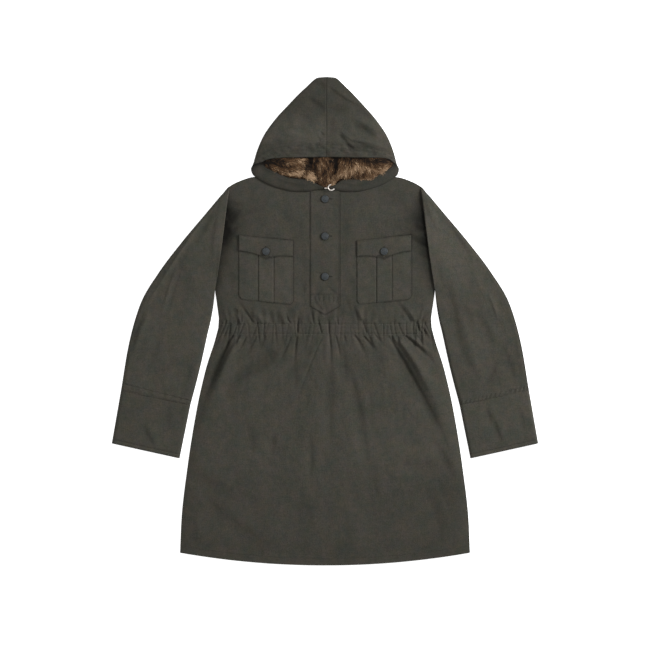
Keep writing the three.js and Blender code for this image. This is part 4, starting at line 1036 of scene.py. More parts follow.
def hood_half(side, name, material):
    around = np.linspace(CORNER - 0.002, CORNER + 0.016, 8)
    upper = np.r_[0, 0.002, 0.006, np.linspace(0.012, CORNER - 0.006, 68)]
    fine = np.r_[upper, around, np.linspace(CORNER + 0.02, 1, 80)]
    across = np.r_[0, 0.004, 0.012, 0.024, np.linspace(0.04, 0.955, 92), 0.97, 0.98, 0.988, 0.994, 0.998, 1]
    s, t = np.meshgrid(across, fine)
    x, y, z, shade = hood_top(t, s, side)
    s, t = np.meshgrid(np.linspace(0.03, 1, 14), fine)
    low_x, low_y, under = hood_back(t, s, side)
    dent = np.clip(0.25 + 0.3 * crumple(low_x, low_y, 14), 0, 0.6) * step(s, 0, 0.2)
    outer = np.concatenate([grid(x, y, z), grid(low_x, low_y, under + dent)], axis=1)
    shades = np.concatenate([shade, np.zeros_like(low_x)], axis=1)

    s, t = np.meshgrid(np.linspace(0, 1, 9), np.linspace(0, 1, 40))
    x, y, z, _ = hood_top(t, s * (1 - HOOD_WALL / hood_length(t, side)), side)
    room = HOOD_SIDES[side]["under_z"](t) + HOOD_FLOOR + 0.1
    s, t = np.meshgrid(np.linspace(0.04, 1, 7), np.linspace(0, 1, 40))
    low_x, low_y, under = hood_back(t, np.maximum(s, HOOD_WALL / hood_length(t, side)), side)
    upper_side = grid(x, y, np.maximum(z - HOOD_WALL, room))
    inner = np.concatenate([upper_side, grid(low_x, low_y, under + HOOD_FLOOR)], axis=1)
    return panel(f"Hood_{name}", outer, inner, shades, material)


def casing_depth(t):
    return CASING_DEPTH + (CASING_AT_CORNER - CASING_DEPTH) * np.clip(t / CORNER, 0, 1)


def casing_surface(t, k, side):
    """The turned casing on the hood: k runs from the face opening to its sewn upper edge."""
    depth = casing_depth(t)
    x, y, z, shade = hood_top(t, np.minimum(k * depth / hood_length(t, side), 0.96), side)
    from_rim = k * depth
    edge = np.minimum(from_rim + 0.8, depth - from_rim)
    round_off = edge_round(edge, 1.6)
    rows = sum(beside(depth - from_rim - row, 1.2) for row in CASING_ROWS)
    pucker = soft_noise(x, y * 1.8, 11, 47) + 0.5 * soft_noise(x, y * 1.4, 5, 48)
    # Painted shade along the casing's edges, on its stitched rows and in the puckers' hollows
    shade = shade + 0.16 * beside(edge, 1.5) + 0.09 * rows + 0.16 * np.clip(-pucker, -0.4, 1)
    return x, y, z + 0.2 + 0.9 * round_off - 0.35 * rows + 0.9 * pucker, shade


def hood_casing(material):
    k = np.r_[0, 0.01, 0.03, 0.06, np.linspace(0.1, 0.9, 24), 0.94, 0.97, 0.99, 1]
    k, t = np.meshgrid(k, np.linspace(0, CORNER, 90))
    left, right = (casing_surface(t, k, side) for side in (-1, 1))
    x, y, z, shade = (np.concatenate([a[::-1], b[1:]]) for a, b in zip(left, right))
    inner = coarse(grid(x, y, z - 0.7), 5, 6)
    return panel("Hood_casing", grid(x, y, z), inner, shade, material)


# Fur

# Lighter and darker patches of the fur, in these three tables: its own paler and darker masses, and painted
# shadow in the gaps beside the middle strip and under the hood's rim
LEFT_FUR_TONES_AND_SHADOW = table(
    "x y reach_x reach_y amount",
    (-54, 336, 16, 9, 0.34), (-80, 333, 22, 7, 0.38), (-112, 345, 18, 6, 0.14), (-72, 359, 17, 8, 0.28),
    (-114, 361, 14, 5, -0.36), (-132, 358, 10, 6, -0.2), (-140, 356, 9, 6, -0.4), (-38, 360, 12, 12, -0.62),
    (-54, 351, 8, 4, -0.14), (-37, 331, 8, 9, 0.24), (-44, 330, 4, 9, 0.22), (-28, 322, 8, 6, -0.34),
)
RIGHT_FUR_TONES_AND_SHADOW = table(
    "x y reach_x reach_y amount",
    (24, 322, 9, 9, 0.36), (46, 340, 13, 8, 0.36), (72, 350, 14, 6, 0.24), (96, 322, 20, 7, 0.44),
    (93, 351, 15, 5, 0.26), (126, 342, 14, 7, 0.26), (62, 324, 12, 4, 0.12), (42, 357, 12, 7, 0.2),
    (106, 344, 11, 8, 0.14), (74, 334, 16, 5, -0.2), (84, 338, 18, 4, -0.08), (122, 361, 22, 7, -0.55),
    (74, 366, 24, 4, -0.16), (25, 355, 7, 15, -0.62),
)
MIDDLE_FUR_TONES_AND_SHADOW = table(
    "x y reach_x reach_y amount",
    (-6, 350, 9, 22, 0.26), (-3, 318, 8, 10, 0.16), (-38, 366, 10, 24, -0.6), (24, 362, 6, 22, -0.65),
    (-24, 338, 7, 12, -0.3),
)
# The crease between the upper mass of the left fur and its lower roll
FUR_CREASE = table("x y", (-142, 362), (-125, 357), (-100, 350.5), (-72, 347), (-40, 346))

ROLLS = {
    -1: table(
        "at low high height",
        (26, 318, 323, 2), (31, 319, 331, 4), (37, 319.4, 343, 6.4), (44, 320.4, 357, 8.4),
        (52, 321.4, 374, 9.8), (75, 323.4, 382, 10.6), (95, 328.6, 383, 9.4), (115, 337, 378, 7),
        (130, 345, 372, 4.6), (141, 351, 366, 2.8), (147, 354, 361, 1.4),
    ),
    1: table(
        "at low high height",
        (17, 308, 314, 1.6), (22, 312, 326, 3.6), (28, 316, 356, 6), (34, 318.6, 370, 7.8),
        (46, 320.6, 376, 9.4), (62, 321.4, 380, 10.4), (80, 320.4, 382, 10.6), (98, 322, 383, 9.8),
        (112, 327, 380, 8), (126, 333.6, 376, 5.8), (139, 341, 370, 3.6), (149, 348, 362, 1.8),
    ),
}
MIDDLE = table(
    "at low high height",
    (391, -46, 42, 3.6), (375, -43, 39, 5), (360, -37, 33, 5.6), (345, -29, 27, 5.8),
    (331, -22, 21, 5.6), (318, -17, 17, 5), (308, -10, 10, 4), (302.5, -4, 4, 2.6),
)
FUR_BASE = 3.6


def mound(sections, at, share):
    low, high, height = (through(sections, "at", name)(at) for name in ("low", "high", "height"))
    across = low + (high - low) * share
    return across, FUR_BASE + 0.4 + height * np.sin(math.pi * np.clip(share, 0, 1)) ** 0.7


def fur_form(name, sections, side, material, node):
    """The dark pelt under the strands, a low soft mound. Side 0 is the strip down the middle."""
    at = np.linspace(sections["at"].min(), sections["at"].max(), 40)
    at, share = np.meshgrid(at, (1 - np.cos(np.linspace(0, math.pi, 26))) / 2, indexing="ij")
    across, z = mound(sections, at, share)
    x, y = (across, at) if side == 0 else (side * at, across)
    z = z - 1.2 + 0.5 * soft_noise(x, y, 6, 3)
    outer = grid(x, y, np.maximum(z, FUR_BASE))
    inner = grid(x[::6, ::5], y[::6, ::5], FUR_BASE - 0.15)
    shade = 0.1 * soft_noise(x, y, 9, 8)
    return dress(shell(name, outer, inner, shade), material, "fur", node)


def tufts(name, roots, heading, length, tone, material, seed, spread=1.5, each=20):
    """Fur in tufts: tapered ribbons that start apart and draw together at their tips."""
    random = np.random.default_rng(seed)
    groups = len(roots)
    count = groups * each
    group = np.repeat(np.arange(groups), each)
    offset = random.normal(0, spread, (count, 2))
    turn = heading[group] + random.normal(0, 0.12, count)
    reach = length[group] * random.uniform(0.6, 1.1, count)
    curl = random.normal(0, 0.2, groups)[group]
    lift = random.uniform(0.8, 3.2, count)
    width = random.uniform(0.4, 0.95, count)
    tint = (tone + random.normal(0, 0.13, groups))[group] + random.normal(0, 0.14, count)
    stations = np.array([0, 0.34, 0.68, 1.0])
    spines = []
    for station in stations:
        angle = turn + curl * station
        along = np.stack([np.cos(angle), np.sin(angle)], 1) * (reach * station)[:, None]
        draw = 1 - 0.6 * station**1.5
        plan = roots[group, :2] + offset * draw + along
        rise = roots[group, 2] + lift * np.sin(math.pi * station * 0.8) - 1.2 * station
        spines.append(np.column_stack([plan, rise]))
    points = []
    for k, station in enumerate(stations):
        ahead = spines[min(k + 1, 3)] - spines[max(k - 1, 0)]
        across = np.stack([-ahead[:, 1], ahead[:, 0], random.normal(0, 0.3, count)], 1)
        across /= np.linalg.norm(across, axis=1)[:, None] + 1e-9
        half = (width * (1 - station) ** 0.55 / 2)[:, None]
        points += [spines[k] - across * half, spines[k] + across * half] if k < 3 else [spines[k]]
    points = np.stack(points, 1)
    first = np.arange(count)[:, None] * 7
    quads = np.concatenate([first + [0, 1, 3, 2], first + [2, 3, 5, 4]])
    tips = first + [4, 5, 6]
    steps = [-0.26, -0.26, -0.03, -0.03, 0.09, 0.09, 0.2]
    shades = np.stack([tint + change for change in steps], 1)
    piece = new_piece(name, points, quads.tolist() + tips.tolist(), shades, smooth=False)
    return dress(piece, material, "fur")


def toned(x, y, tones):
    """The lighter and darker patches of a table, added up."""
    total = np.zeros_like(x)
    for at_x, at_y, reach_x, reach_y, amount in zip(*tones.values()):
        total += amount * patch(x, y, at_x, at_y, reach_x, reach_y)
    return total


def roll_tufts(side, name, count, material, seed):
    random = np.random.default_rng(seed)
    at = random.uniform(26 if side < 0 else 17, 147, count)
    share = random.uniform(0.02, 0.98, count)
    across, z = mound(ROLLS[side], at, share)
    x = side * at
    wave = soft_noise(x, across, 13, seed)
    if side < 0:
        heading = np.radians(np.interp(at, [24, 40, 70, 110, 146], [-58, -36, -20, -26, -34])) + 0.22 * wave
        # Painted shade in the crease between the upper mass and the roll, which also sinks in
        crease = beside(across - through(FUR_CREASE, "x", "y")(x), 2.6) * step(at, 40, 52)
        tone = 0.17 + 1.2 * toned(x, across, LEFT_FUR_TONES_AND_SHADOW) - 0.6 * crease
        z = z - 2.4 * crease
    else:
        turn = np.interp(at, [17, 34, 60, 84, 104, 124, 146], [-120, -142, -124, -88, -62, -30, -8])
        inner_turn = 46 * step(across, 326, 346) * step(at, 84, 54)
        turn += inner_turn + 30 * step(across, 335, 366) * step(at, 54, 84)
        heading = np.radians(turn) + 0.24 * wave
        tone = 0.24 + 1.25 * toned(x, across, RIGHT_FUR_TONES_AND_SHADOW)
    along = x * np.cos(heading) + across * np.sin(heading)
    beside_flow = across * np.cos(heading) - x * np.sin(heading)
    tone += 0.2 * soft_noise(beside_flow, along / 3.6, 3.4, seed + 1) + 0.1 * wave
    edge = 1 - step(share, 0.04, 0.3)
    roots = np.stack([x, across, z - 0.6 + 2.2 * edge * step(at, 40, 60)], 1)
    hanging = step(at, 70, 84) * step(at, 116, 104) if side > 0 else 0.2
    at_edge = 1 - (0.74 - 0.18 * hanging) * edge
    length = random.uniform(11, 24, count) * (0.4 + 0.6 * step(at, 148, 116)) * at_edge
    return tufts(name, roots, heading, length, tone, material, seed + 2)


def middle_tufts(count, material, seed):
    random = np.random.default_rng(seed)
    at = random.uniform(307, 389, count)
    share = random.uniform(0.02, 0.98, count)
    x, z = mound(MIDDLE, at, share)
    clump = soft_noise(x, at / 2.2, 5, seed)
    heading = math.radians(-90) + 0.2 * clump - x * 0.006
    streak = soft_noise(x, at / 4, 3.2, seed + 3)
    tone = 0.04 + 1.2 * toned(x, at, MIDDLE_FUR_TONES_AND_SHADOW) + 0.12 * clump + 0.33 * streak
    roots = np.stack([x, at, z - 0.6], 1)
    length = random.uniform(9, 17, count) * (0.6 + 0.4 * step(at, 305, 326))
    return tufts("Fur_strands_middle", roots, heading, length, tone, material, seed + 1, 1.6)


LINING_TOP = 387.0
LINING_LOW = 301.6
LINING_HALF = table(
    "y half",
    (387, 92), (366, 141), (354, 146), (345, 141), (336, 124), (329, 106), (325, 90), (317, 36), (308, 18),
    (301, 4),
)


def lining(material):
    """The hood's lining behind the fur, seen only between the tufts. Its near-black colour is partly the
    pelt's own dark and partly painted shade deep between the tufts.
    """
    across, level = np.meshgrid(np.linspace(-1, 1, 60), np.linspace(0, 1, 24))
    y = LINING_TOP + (LINING_LOW - LINING_TOP) * level
    x = across * np.interp(y, LINING_HALF["y"][::-1], LINING_HALF["half"][::-1])
    z = BACK_TOP + LAYER_GAP + 1.2 + 0.2 * soft_noise(x, y, 7, 2)
    inner = grid(x[::4, ::4], y[::4, ::4], BACK_TOP + LAYER_GAP - 0.1)
    shade = 0.2 * soft_noise(x, y, 9, 4)
    return panel("Hood_lining", grid(x, y, z), inner, shade, material, "pelt")


def crown_pile(material):
    """The pile that fills the hood behind its mouth, out of sight."""
    k, t = np.meshgrid(np.linspace(0, 1, 12), np.linspace(0, 0.3, 16))
    start = 24 / hood_length(t, 1)
    halves = []
    for side in (-1, 1):
        x, y, z, _ = hood_top(t, start + (0.86 - start) * k, side)
        halves.append(grid(x, y, np.maximum(z - 4.4, 2.6)))
    outer = np.concatenate([halves[0][::-1], halves[1][1:]])
    inner = outer.copy()
    inner[..., 2] = BACK_TOP + LAYER_GAP
    shade = np.zeros(outer.shape[:2])
    return dress(shell("Hidden_pile", outer, inner, shade), material, "fur", "fur_crown")


# Hardware

def lathe(name, profile, centre, segments=48):
    """A turned solid round a vertical axis. The profile starts and ends on the axis."""
    angle = np.linspace(0, 2 * math.pi, segments, endpoint=False)
    radius, height = np.array(profile).T
    rings = grid(np.outer(radius, np.cos(angle)), np.outer(radius, np.sin(angle)), height[:, None]) + centre
    return ringed(name, rings[1:-1], rings[[0, -1], 0])


BUTTON_PROFILE = [
    (0, 0), (0.62, 0), (0.86, 0.25), (0.97, 0.8), (1, 1.35), (0.985, 1.9), (0.94, 2.35), (0.88, 2.5),
    (0.82, 2.42), (0.77, 2.3), (0.7, 2.42), (0.55, 2.75), (0.36, 3.05), (0.16, 3.2), (0, 3.25),
]


def button(name, x, y, seat, material, node):
    profile = [(r * DOME_RADIUS, z) for r, z in BUTTON_PROFILE]
    return dress(lathe(name, profile, (x, y, seat)), material, "button", node)


def wire(name, places, radius, material, node):
    """A round wire through places, as a closed mesh with rounded ends."""
    places = np.array(places, float)
    tangent = unit(np.gradient(places, axis=0))
    across = unit(np.cross(tangent, UP))
    lift = np.cross(across, tangent)
    angle = np.linspace(0, 2 * math.pi, 12, endpoint=False)[None, :, None]
    size = np.array([0.55, 0.9] + [1] * (len(places) - 4) + [0.9, 0.55]) * radius
    around = across[:, None] * np.cos(angle) + lift[:, None] * np.sin(angle)
    ends = np.array([places[0] - tangent[0] * 0.3, places[-1] + tangent[-1] * 0.3])
    piece = ringed(name, places[:, None] + around * size[:, None, None], ends)
    return dress(piece, material, "wire", node)


def neck_hook(material):
    angles = np.radians(np.linspace(100, 338, 34))
    centre_x, centre_y, level = 14, 300.3, 12.4
    ring = [(centre_x + 6.6 * math.cos(a), centre_y + 6.3 * math.sin(a), level) for a in angles]
    wire("Hook_ring", ring, 1.35, material, "hook_ring")
    bar = [(x, 298.7, 11.6 + 0.05 * x) for x in np.linspace(-1.5, 6.4, 8)]
    wire("Hook_bar", bar, 1.2, material, "hook_bar")


# Sewing

def even_places(points, pitch):
    """Places at an even pitch along a line, with the heading there."""
    points = np.asarray(points, float)
    total = np.concatenate([[0], np.cumsum(np.linalg.norm(np.diff(points, axis=0), axis=1))])
    places = np.arange(pitch / 2, total[-1], pitch)

    def at(places):
        return np.stack([np.interp(places, total, points[:, i]) for i in range(3)], 1)

    return at(places), unit(at(places + 0.5) - at(places - 0.5))


def stitching(name, lines, material, pitch=3.2, length=2.3, radius=0.33, seed=1):
    """Rows of machine stitches, each a short thread that dips into the cloth at both ends."""
    random = np.random.default_rng(seed)
    centre, heading = (np.concatenate(parts) for parts in zip(*(even_places(line, pitch) for line in lines)))
    heading[:, :2] += random.normal(0, 0.06, (len(heading), 2))
    across = unit(np.stack([-heading[:, 1], heading[:, 0], np.zeros(len(heading))], 1))
    stations = [(-0.5, -0.9, 0.35), (-0.3, 0.3, 0.95), (0, 0.62, 1), (0.3, 0.3, 0.95), (0.5, -0.9, 0.35)]
    points = []
    for share, rise, size in stations:
        spine = centre + heading * (share * length) + UP * (rise * radius)
        for turn in np.radians((0, 90, 180, 270)):
            points.append(spine + (across * math.cos(turn) + UP * math.sin(turn)) * radius * size)
    first = np.arange(len(centre))[:, None] * len(points)
    faces = [first + [3, 2, 1, 0], first + [16, 17, 18, 19]]
    for k in range(0, 16, 4):
        for a, b in ((0, 1), (1, 2), (2, 3), (3, 0)):
            faces.append(first + [k + a, k + b, k + b + 4, k + a + 4])
    return dress(new_piece(name, np.stack(points, 1), np.concatenate(faces).tolist()), material, "canvas")


def thread_line(surface, lift=0.05):
    """A line of thread just over a surface's points."""
    x, y, z = surface[:3]
    return np.stack([x, y, z + lift], 1)


def on_front(x, y):
    return thread_line((x, y, lies_on_front(x, y)), 0.1)


def waist_lines():
    lines = []
    for level in (WAIST_TOP, WAIST_BOTTOM):
        half = float(body_half(np.array(level))) - 3
        x = np.linspace(-half, half, 240)
        lines.append(on_front(x, level + 0.5 * np.sin(x / 37)))
    return lines


def hem_lines():
    u = np.linspace(-0.985, 0.985, 200)
    x, y = body_plan(u, np.full_like(u, HEM_CORNER_Y + 16), front_edge)
    return [on_front(x, y)]


def placket_line(*corners):
    corners = np.array(corners, float)
    x, y = np.concatenate([np.linspace(a, b, 40) for a, b in zip(corners, corners[1:])]).T
    return thread_line((x, y, placket_surface(x, y)[0]))


def placket_lines():
    half, tip, low = PLACKET_HALF - 2.6, PLACKET_TIP + 3, PLACKET_SHOULDER + 1
    box = placket_line((-half, PLACKET_BOX), (half, PLACKET_BOX))
    return [box, placket_line((-half, 290), (-half, low), (0, tip), (half, low), (half, 290))]


def pocket_lines(side):
    def line(u, v):
        u, v = np.broadcast_arrays(u, v)
        x, y = pocket_place(u, v, side)
        return thread_line((x, y, lies_on_front(x, y) + bag_lift(u, v)[0]), 0.1)

    low = POCKET_BOTTOM + 2.2
    sides = [line(u, np.linspace(138, low, 90)) for u in (-POCKET_ROW, POCKET_ROW)]
    return sides + [line(np.linspace(-POCKET_ROW, POCKET_ROW, 90), low)]


def flap_lines(side):
    u = np.linspace(-POCKET_ROW, POCKET_ROW, 120)
    levels = (flap_edge(np.abs(u)) + 2.4, np.full_like(u, POCKET_TOP - 2.4))
    return [thread_line(flap_surface(u, v, side)) for v in levels]


def cuff_lines(side):
    t = np.linspace(0.02, 0.98, 120)
    levels = (3.2, LEFT_SLEEVE_ROW) if side < 0 else (3.2, 9.5)
    lines = [thread_line(sleeve_top(side, np.full_like(t, 1 - v / SLEEVE_LENGTH), t)) for v in levels]
    return lines + [thread_line(cuff_top(side, np.full_like(t, 1 - CUFF_ROW / CUFF_LENGTH), t))]


def hood_lines():
    lines = []
    for side in (-1, 1):
        t = np.linspace(0.003, CORNER - 0.01, 150)
        for from_edge in (1.8, *CASING_ROWS):
            lines.append(thread_line(casing_surface(t, 1 - from_edge / casing_depth(t), side)))
        s = np.linspace(0.22, 0.97, 120)
        lines.append(thread_line(hood_top(np.full_like(s, 0.01), s, side)))
        t = np.linspace(CORNER + 0.06, 0.94, 150)
        lines.append(thread_line(hood_top(t, 4.5 / hood_length(t, side), side)))
    return lines


def buttonholes(material):
    """A short bar of close stitches beside each button, on the side that it fastens to."""
    lines = []
    x = np.linspace(9, 17, 12)
    for y in BUTTON_LEVELS:
        z, _ = placket_surface(x, np.full_like(x, y + 0.4))
        lines += [thread_line((x, np.full_like(x, y + offset), z), 0.1) for offset in (-0.5, 0.9)]
    v = np.linspace(163, 168.5, 10)
    for side in (-1, 1):
        for offset in (-0.012, 0.012):
            lines.append(thread_line(flap_surface(np.full_like(v, offset), v, side), 0.1))
    return stitching("Buttonhole_stitches", lines, material, 1.1, 1.5, 0.34, 9)


# Materials

CANVAS_BROWN = (0.0542, 0.0466, 0.0377)
CANVAS_GREEN = (0.0376, 0.0404, 0.0323)
WARM_FLECK = (1.02, 1.02, 0.9)
COOL_FLECK = (0.98, 0.98, 1.1)
WEAVE_PITCH = 0.0008


def new_material(name):
    material = bpy.data.materials.new(name)
    material.use_nodes = True
    material.node_tree.nodes.clear()
    return material, material.node_tree


def add_node(tree, kind, inputs, **settings):
    """A new node with its settings. Each input takes a value, or the socket that feeds it."""
    node = tree.nodes.new("ShaderNode" + kind)
    for name, value in settings.items():
        setattr(node, name, value)
    for name, value in inputs.items():
        if isinstance(value, bpy.types.NodeSocket):
            tree.links.new(value, node.inputs[name])
        else:
            node.inputs[name].default_value = value
    return node


def shaded(material, inputs):
    """The material, ended in one shader with these inputs."""
    tree = material.node_tree
    shader = add_node(tree, "BsdfPrincipled", inputs)
    add_node(tree, "OutputMaterial", {"Surface": shader.outputs["BSDF"]})
    return material


def calculate(tree, operation, *values):
    return add_node(tree, "Math", dict(enumerate(values)), operation=operation).outputs[0]


def noise(tree, scale, detail=2.0, stretch=None, roughness=0.5):
    """A noise texture in the garment's own metres, stretched where three factors are given."""
    source = add_node(tree, "TexCoord", {}).outputs["Object"]
    if stretch:
        source = add_node(tree, "Mapping", {"Vector": source, "Scale": stretch}).outputs["Vector"]
    inputs = {"Vector": source, "Scale": scale, "Detail": detail, "Roughness": roughness}
    return add_node(tree, "TexNoise", inputs).outputs["Fac"]


def to_range(tree, value, low, high):
    """Maps the middle of a noise, 0.35 to 0.65, to a range."""
    inputs = {"Value": value, "From Min": 0.35, "From Max": 0.65, "To Min": low, "To Max": high}
    return add_node(tree, "MapRange", inputs).outputs["Result"]


def blend_colours(tree, factor, dark, light):
    return add_node(tree, "Mix", {0: factor, 6: (*dark, 1), 7: (*light, 1)}, data_type="RGBA").outputs[2]


def scale_colour(tree, colour, factor):
    return add_node(tree, "VectorMath", {0: colour, "Scale": factor}, operation="SCALE").outputs["Vector"]


def shade_of(tree):
    return add_node(tree, "Attribute", {}, attribute_name="shade").outputs["Fac"]


def bump(tree, height, strength, distance):
    inputs = {"Height": height, "Strength": strength, "Distance": distance}
    return add_node(tree, "Bump", inputs).outputs["Normal"]


def canvas_material():
    """Field-grey cotton: brown and green mottling, slubs and a plain weave. Each point's shade darkens it:
    painted shade in valleys, hollows and along edges, and tone that differs from piece to piece; a negative
    shade is painted light.
    """
    material, tree = new_material("Field_grey_cotton_canvas")
    patches = to_range(tree, noise(tree, 38, 10, roughness=0.76), 0, 1)
    mottle = to_range(tree, noise(tree, 70, 5, roughness=0.75), -1, 1)
    grain = to_range(tree, noise(tree, 420, 2), -1, 1)
    slub_across = to_range(tree, noise(tree, 1, 2, (40, 520, 1)), -1, 1)
    slub_along = to_range(tree, noise(tree, 1, 2, (520, 40, 1)), -1, 1)
    wide = to_range(tree, noise(tree, 9, 3), -1, 1)
    flecks = to_range(tree, noise(tree, 48, 10, roughness=0.84), 0, 1)
    dye = blend_colours(tree, patches, CANVAS_GREEN, CANVAS_BROWN)
    tint = blend_colours(tree, flecks, WARM_FLECK, COOL_FLECK)
    colour = add_node(tree, "VectorMath", {0: dye, 1: tint}, operation="MULTIPLY").outputs["Vector"]
    tone = 1.0
    unevenness = ((mottle, 0.07), (grain, 0.11), (slub_across, 0.032), (slub_along, 0.032), (wide, 0.045))
    for value, amount in unevenness:
        tone = calculate(tree, "MULTIPLY_ADD", value, amount, tone)
    lit = calculate(tree, "SUBTRACT", 1.0, shade_of(tree))
    height = weave_height(tree)
    for value, amount in ((grain, 0.35), (slub_across, 0.3), (slub_along, 0.3)):
        height = calculate(tree, "MULTIPLY_ADD", value, amount, height)
    return shaded(material, {
        "Base Color": scale_colour(tree, colour, calculate(tree, "MULTIPLY", tone, lit)),
        "Roughness": 0.88,
        "Specular IOR Level": 0.09,
        "Sheen Weight": 0.03,
        "Sheen Roughness": 0.5,
        "Normal": bump(tree, height, 0.35, 0.0003),
    })


def weave_height(tree):
    """Threads of a plain weave, 0.8 mm apart both ways."""
    place = add_node(tree, "TexCoord", {}).outputs["Object"]
    inputs = {"Vector": place, "Scale": 2 * math.pi / (20 * WEAVE_PITCH), "Distortion": 0.6}
    waves = [add_node(tree, "TexWave", inputs, bands_direction=way).outputs["Fac"] for way in "XY"]
    return calculate(tree, "MULTIPLY", *waves)


def fur_material(name, dark, middle, pale):
    """Fur: a strand's shade runs from its dark root to its pale tip."""
    material, tree = new_material(name)
    ramp = add_node(tree, "ValToRGB", {"Fac": shade_of(tree)})
    first, last = ramp.color_ramp.elements
    first.position, last.position = 0.0, 1.0
    first.color, last.color = (*dark, 1), (*pale, 1)
    ramp.color_ramp.elements.new(0.45).color = (*middle, 1)
    grain = to_range(tree, noise(tree, 420, 2), 0.8, 1.2)
    return shaded(material, {
        "Base Color": scale_colour(tree, ramp.outputs["Color"], grain),
        "Roughness": 0.62,
        "Specular IOR Level": 0.12,
        "Sheen Weight": 0.03,
    })


def mottled(name, scale, dark, light, bumped=None, **inputs):
    """A surface between two colours, with its other inputs; bumped gives a noise, strength and distance."""
    material, tree = new_material(name)
    colour = blend_colours(tree, to_range(tree, noise(tree, *scale), 0, 1), dark, light)
    if bumped:
        texture, strength, distance = bumped
        inputs["Normal"] = bump(tree, noise(tree, *texture), strength, distance)
    inputs = {name.replace("_", " "): value for name, value in inputs.items()}
    return shaded(material, {"Base Color": colour, **inputs})


def thread_material(name, dark, light):
    return mottled(
        name, (240, 2), dark, light, ((1, 2, (3000, 3000, 1)), 0.3, 0.0002),
        Roughness=0.75, Specular_IOR_Level=0.2,
    )


# Near-black: partly the pelt's own dark, partly painted shade deep between the tufts
def pelt_material():
    return mottled(
        "Dark_pelt", (260, 3), (0.007, 0.005, 0.004), (0.03, 0.02, 0.013), ((700, 3), 0.6, 0.0012),
        Roughness=0.9, Specular_IOR_Level=0.1,
    )


def button_material():
    """Slate-blue paint on a pebbled metal button."""
    return mottled(
        "Painted_metal_button", (420, 3), (0.0125, 0.0165, 0.0185), (0.027, 0.033, 0.0355),
        ((900, 2), 0.5, 0.0004), Roughness=0.46, Specular_IOR_Level=0.4,
    )


def wire_material():
    return mottled(
        "Nickel_wire", (300, 2), (0.62, 0.56, 0.5), (0.85, 0.8, 0.76), Metallic=0.55, Roughness=0.36
    )


def floor_material():
    material, tree = new_material("White_table")
    return shaded(material, {
        "Base Color": blend_colours(tree, noise(tree, 3, 2), (0.9, 0.9, 0.9), (0.93, 0.93, 0.93)),
        "Roughness": 0.9,
        "Specular IOR Level": 0.1,
        "Emission Color": (1, 1, 1, 1),
        "Emission Strength": 0.75,
    })


# Camera, floor and light

def camera():
    data = bpy.data.cameras.new("Camera")
    data.sensor_width = SENSOR
    data.lens = SENSOR * CAMERA_HEIGHT / PICTURE_WIDTH
    data.clip_end = 100
    eye = bpy.data.objects.new("Camera", data)
    eye.location = (0, CAMERA_Y * MM, CAMERA_HEIGHT * MM)
    bpy.context.scene.collection.objects.link(eye)
    bpy.context.scene.camera = eye


def floor():
    size, level = 20000, -0.4
    corners = [(-size, -size, level), (size, -size, level), (size, size, level), (-size, size, level)]
    surface = new_piece("Floor", np.array(corners), [(0, 1, 2, 3)], smooth=False)
    surface.data.materials.append(floor_material())


def lamp(name, place, size, power):
    """A round lamp that points at the origin."""
    data = bpy.data.lights.new(name, "AREA")
    data.shape = "DISK"
    data.size = size
    data.energy = power
    light = bpy.data.objects.new(name, data)
    light.location = place
    light.rotation_euler = (-Vector(place)).to_track_quat("-Z", "Y").to_euler()
    bpy.context.scene.collection.objects.link(light)


def studio():
    lamp("Key", place=(3.6, 1.5, 2.0), size=1.4, power=235)
    lamp("Top", place=(-0.6, 0.6, 4.2), size=3.0, power=45)
    world = bpy.data.worlds.new("Studio")
    world.use_nodes = True
    light = world.node_tree.nodes["Background"]
    light.inputs["Color"].default_value = (1, 1, 1, 1)
    light.inputs["Strength"].default_value = 0.42
    scene = bpy.context.scene
    scene.world = world
    scene.view_settings.view_transform = "Standard"
    scene.view_settings.look = "None"


# The garment


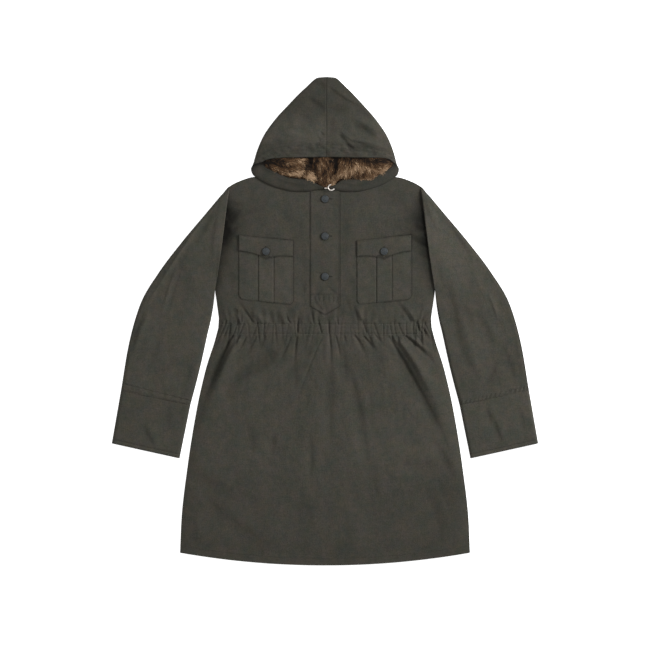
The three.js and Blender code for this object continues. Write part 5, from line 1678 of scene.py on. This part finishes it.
def garment():
    canvas = canvas_material()
    thread = thread_material("Field_grey_thread", (0.026, 0.025, 0.02), (0.042, 0.04, 0.033))
    pale_thread = thread_material("Pale_green_thread", (0.066, 0.064, 0.052), (0.112, 0.108, 0.09))
    soft_thread = thread_material("Grey_green_thread", (0.042, 0.041, 0.034), (0.066, 0.064, 0.053))
    dark_thread = thread_material("Dark_thread", (0.010, 0.010, 0.009), (0.018, 0.018, 0.016))
    fur = fur_material("Fur", (0.0055, 0.0032, 0.0019), (0.101, 0.0515, 0.0225), (0.54, 0.37, 0.226))
    underfur = fur_material("Underfur", (0.012, 0.008, 0.005), (0.03, 0.02, 0.012), (0.05, 0.035, 0.02))
    pelt = pelt_material()
    paint = button_material()
    nickel = wire_material()

    back(canvas)
    front(canvas)
    placket(canvas)
    for side, name in SIDES:
        pocket_bag(side, name, canvas)
        pocket_flap(side, name, canvas)
        hood_half(side, name, canvas)
    for make in (sleeve, cuff):
        for side, name in SIDES:
            make(side, name, canvas)
    hood_casing(canvas)

    lining(pelt)
    crown_pile(underfur)
    for side, name in SIDES:
        fur_form(f"Fur_base_{name}", ROLLS[side], side, underfur, f"fur_{name}")
    fur_form("Fur_base_middle", MIDDLE, 0, underfur, "fur_middle")
    roll_tufts(-1, "Fur_strands_left", 780, fur, 100)
    roll_tufts(1, "Fur_strands_right", 880, fur, 200)
    middle_tufts(560, fur, 300)

    for name, y in zip(("top", "middle", "low"), BUTTON_LEVELS):
        z, _ = placket_surface(np.array(0.0), np.array(y))
        button(f"Placket_button_{name}", 0, y, float(z) + 0.2, paint, f"placket_button_{name}")
    for side, name in SIDES:
        x, y, z, _ = flap_surface(np.array(0.0), np.array(FLAP_BUTTON_LEVEL), side)
        button(f"Flap_button_{name}", float(x), float(y), float(z) + 0.2, paint, f"flap_button_{name}")
    neck_hook(nickel)

    stitching("Body_stitches", waist_lines(), pale_thread, seed=2)
    stitching("Hem_stitches", hem_lines(), thread, seed=7)
    stitching("Placket_stitches", placket_lines(), thread, seed=3)
    for side, name in SIDES:
        stitching(f"Pocket_stitches_{name}", pocket_lines(side) + flap_lines(side), thread, seed=4)
        stitching(f"Cuff_stitches_{name}", cuff_lines(side), thread, seed=5)
    stitching("Hood_stitches", hood_lines(), soft_thread, seed=6)
    buttonholes(dark_thread)


camera()
studio()
floor()
garment()
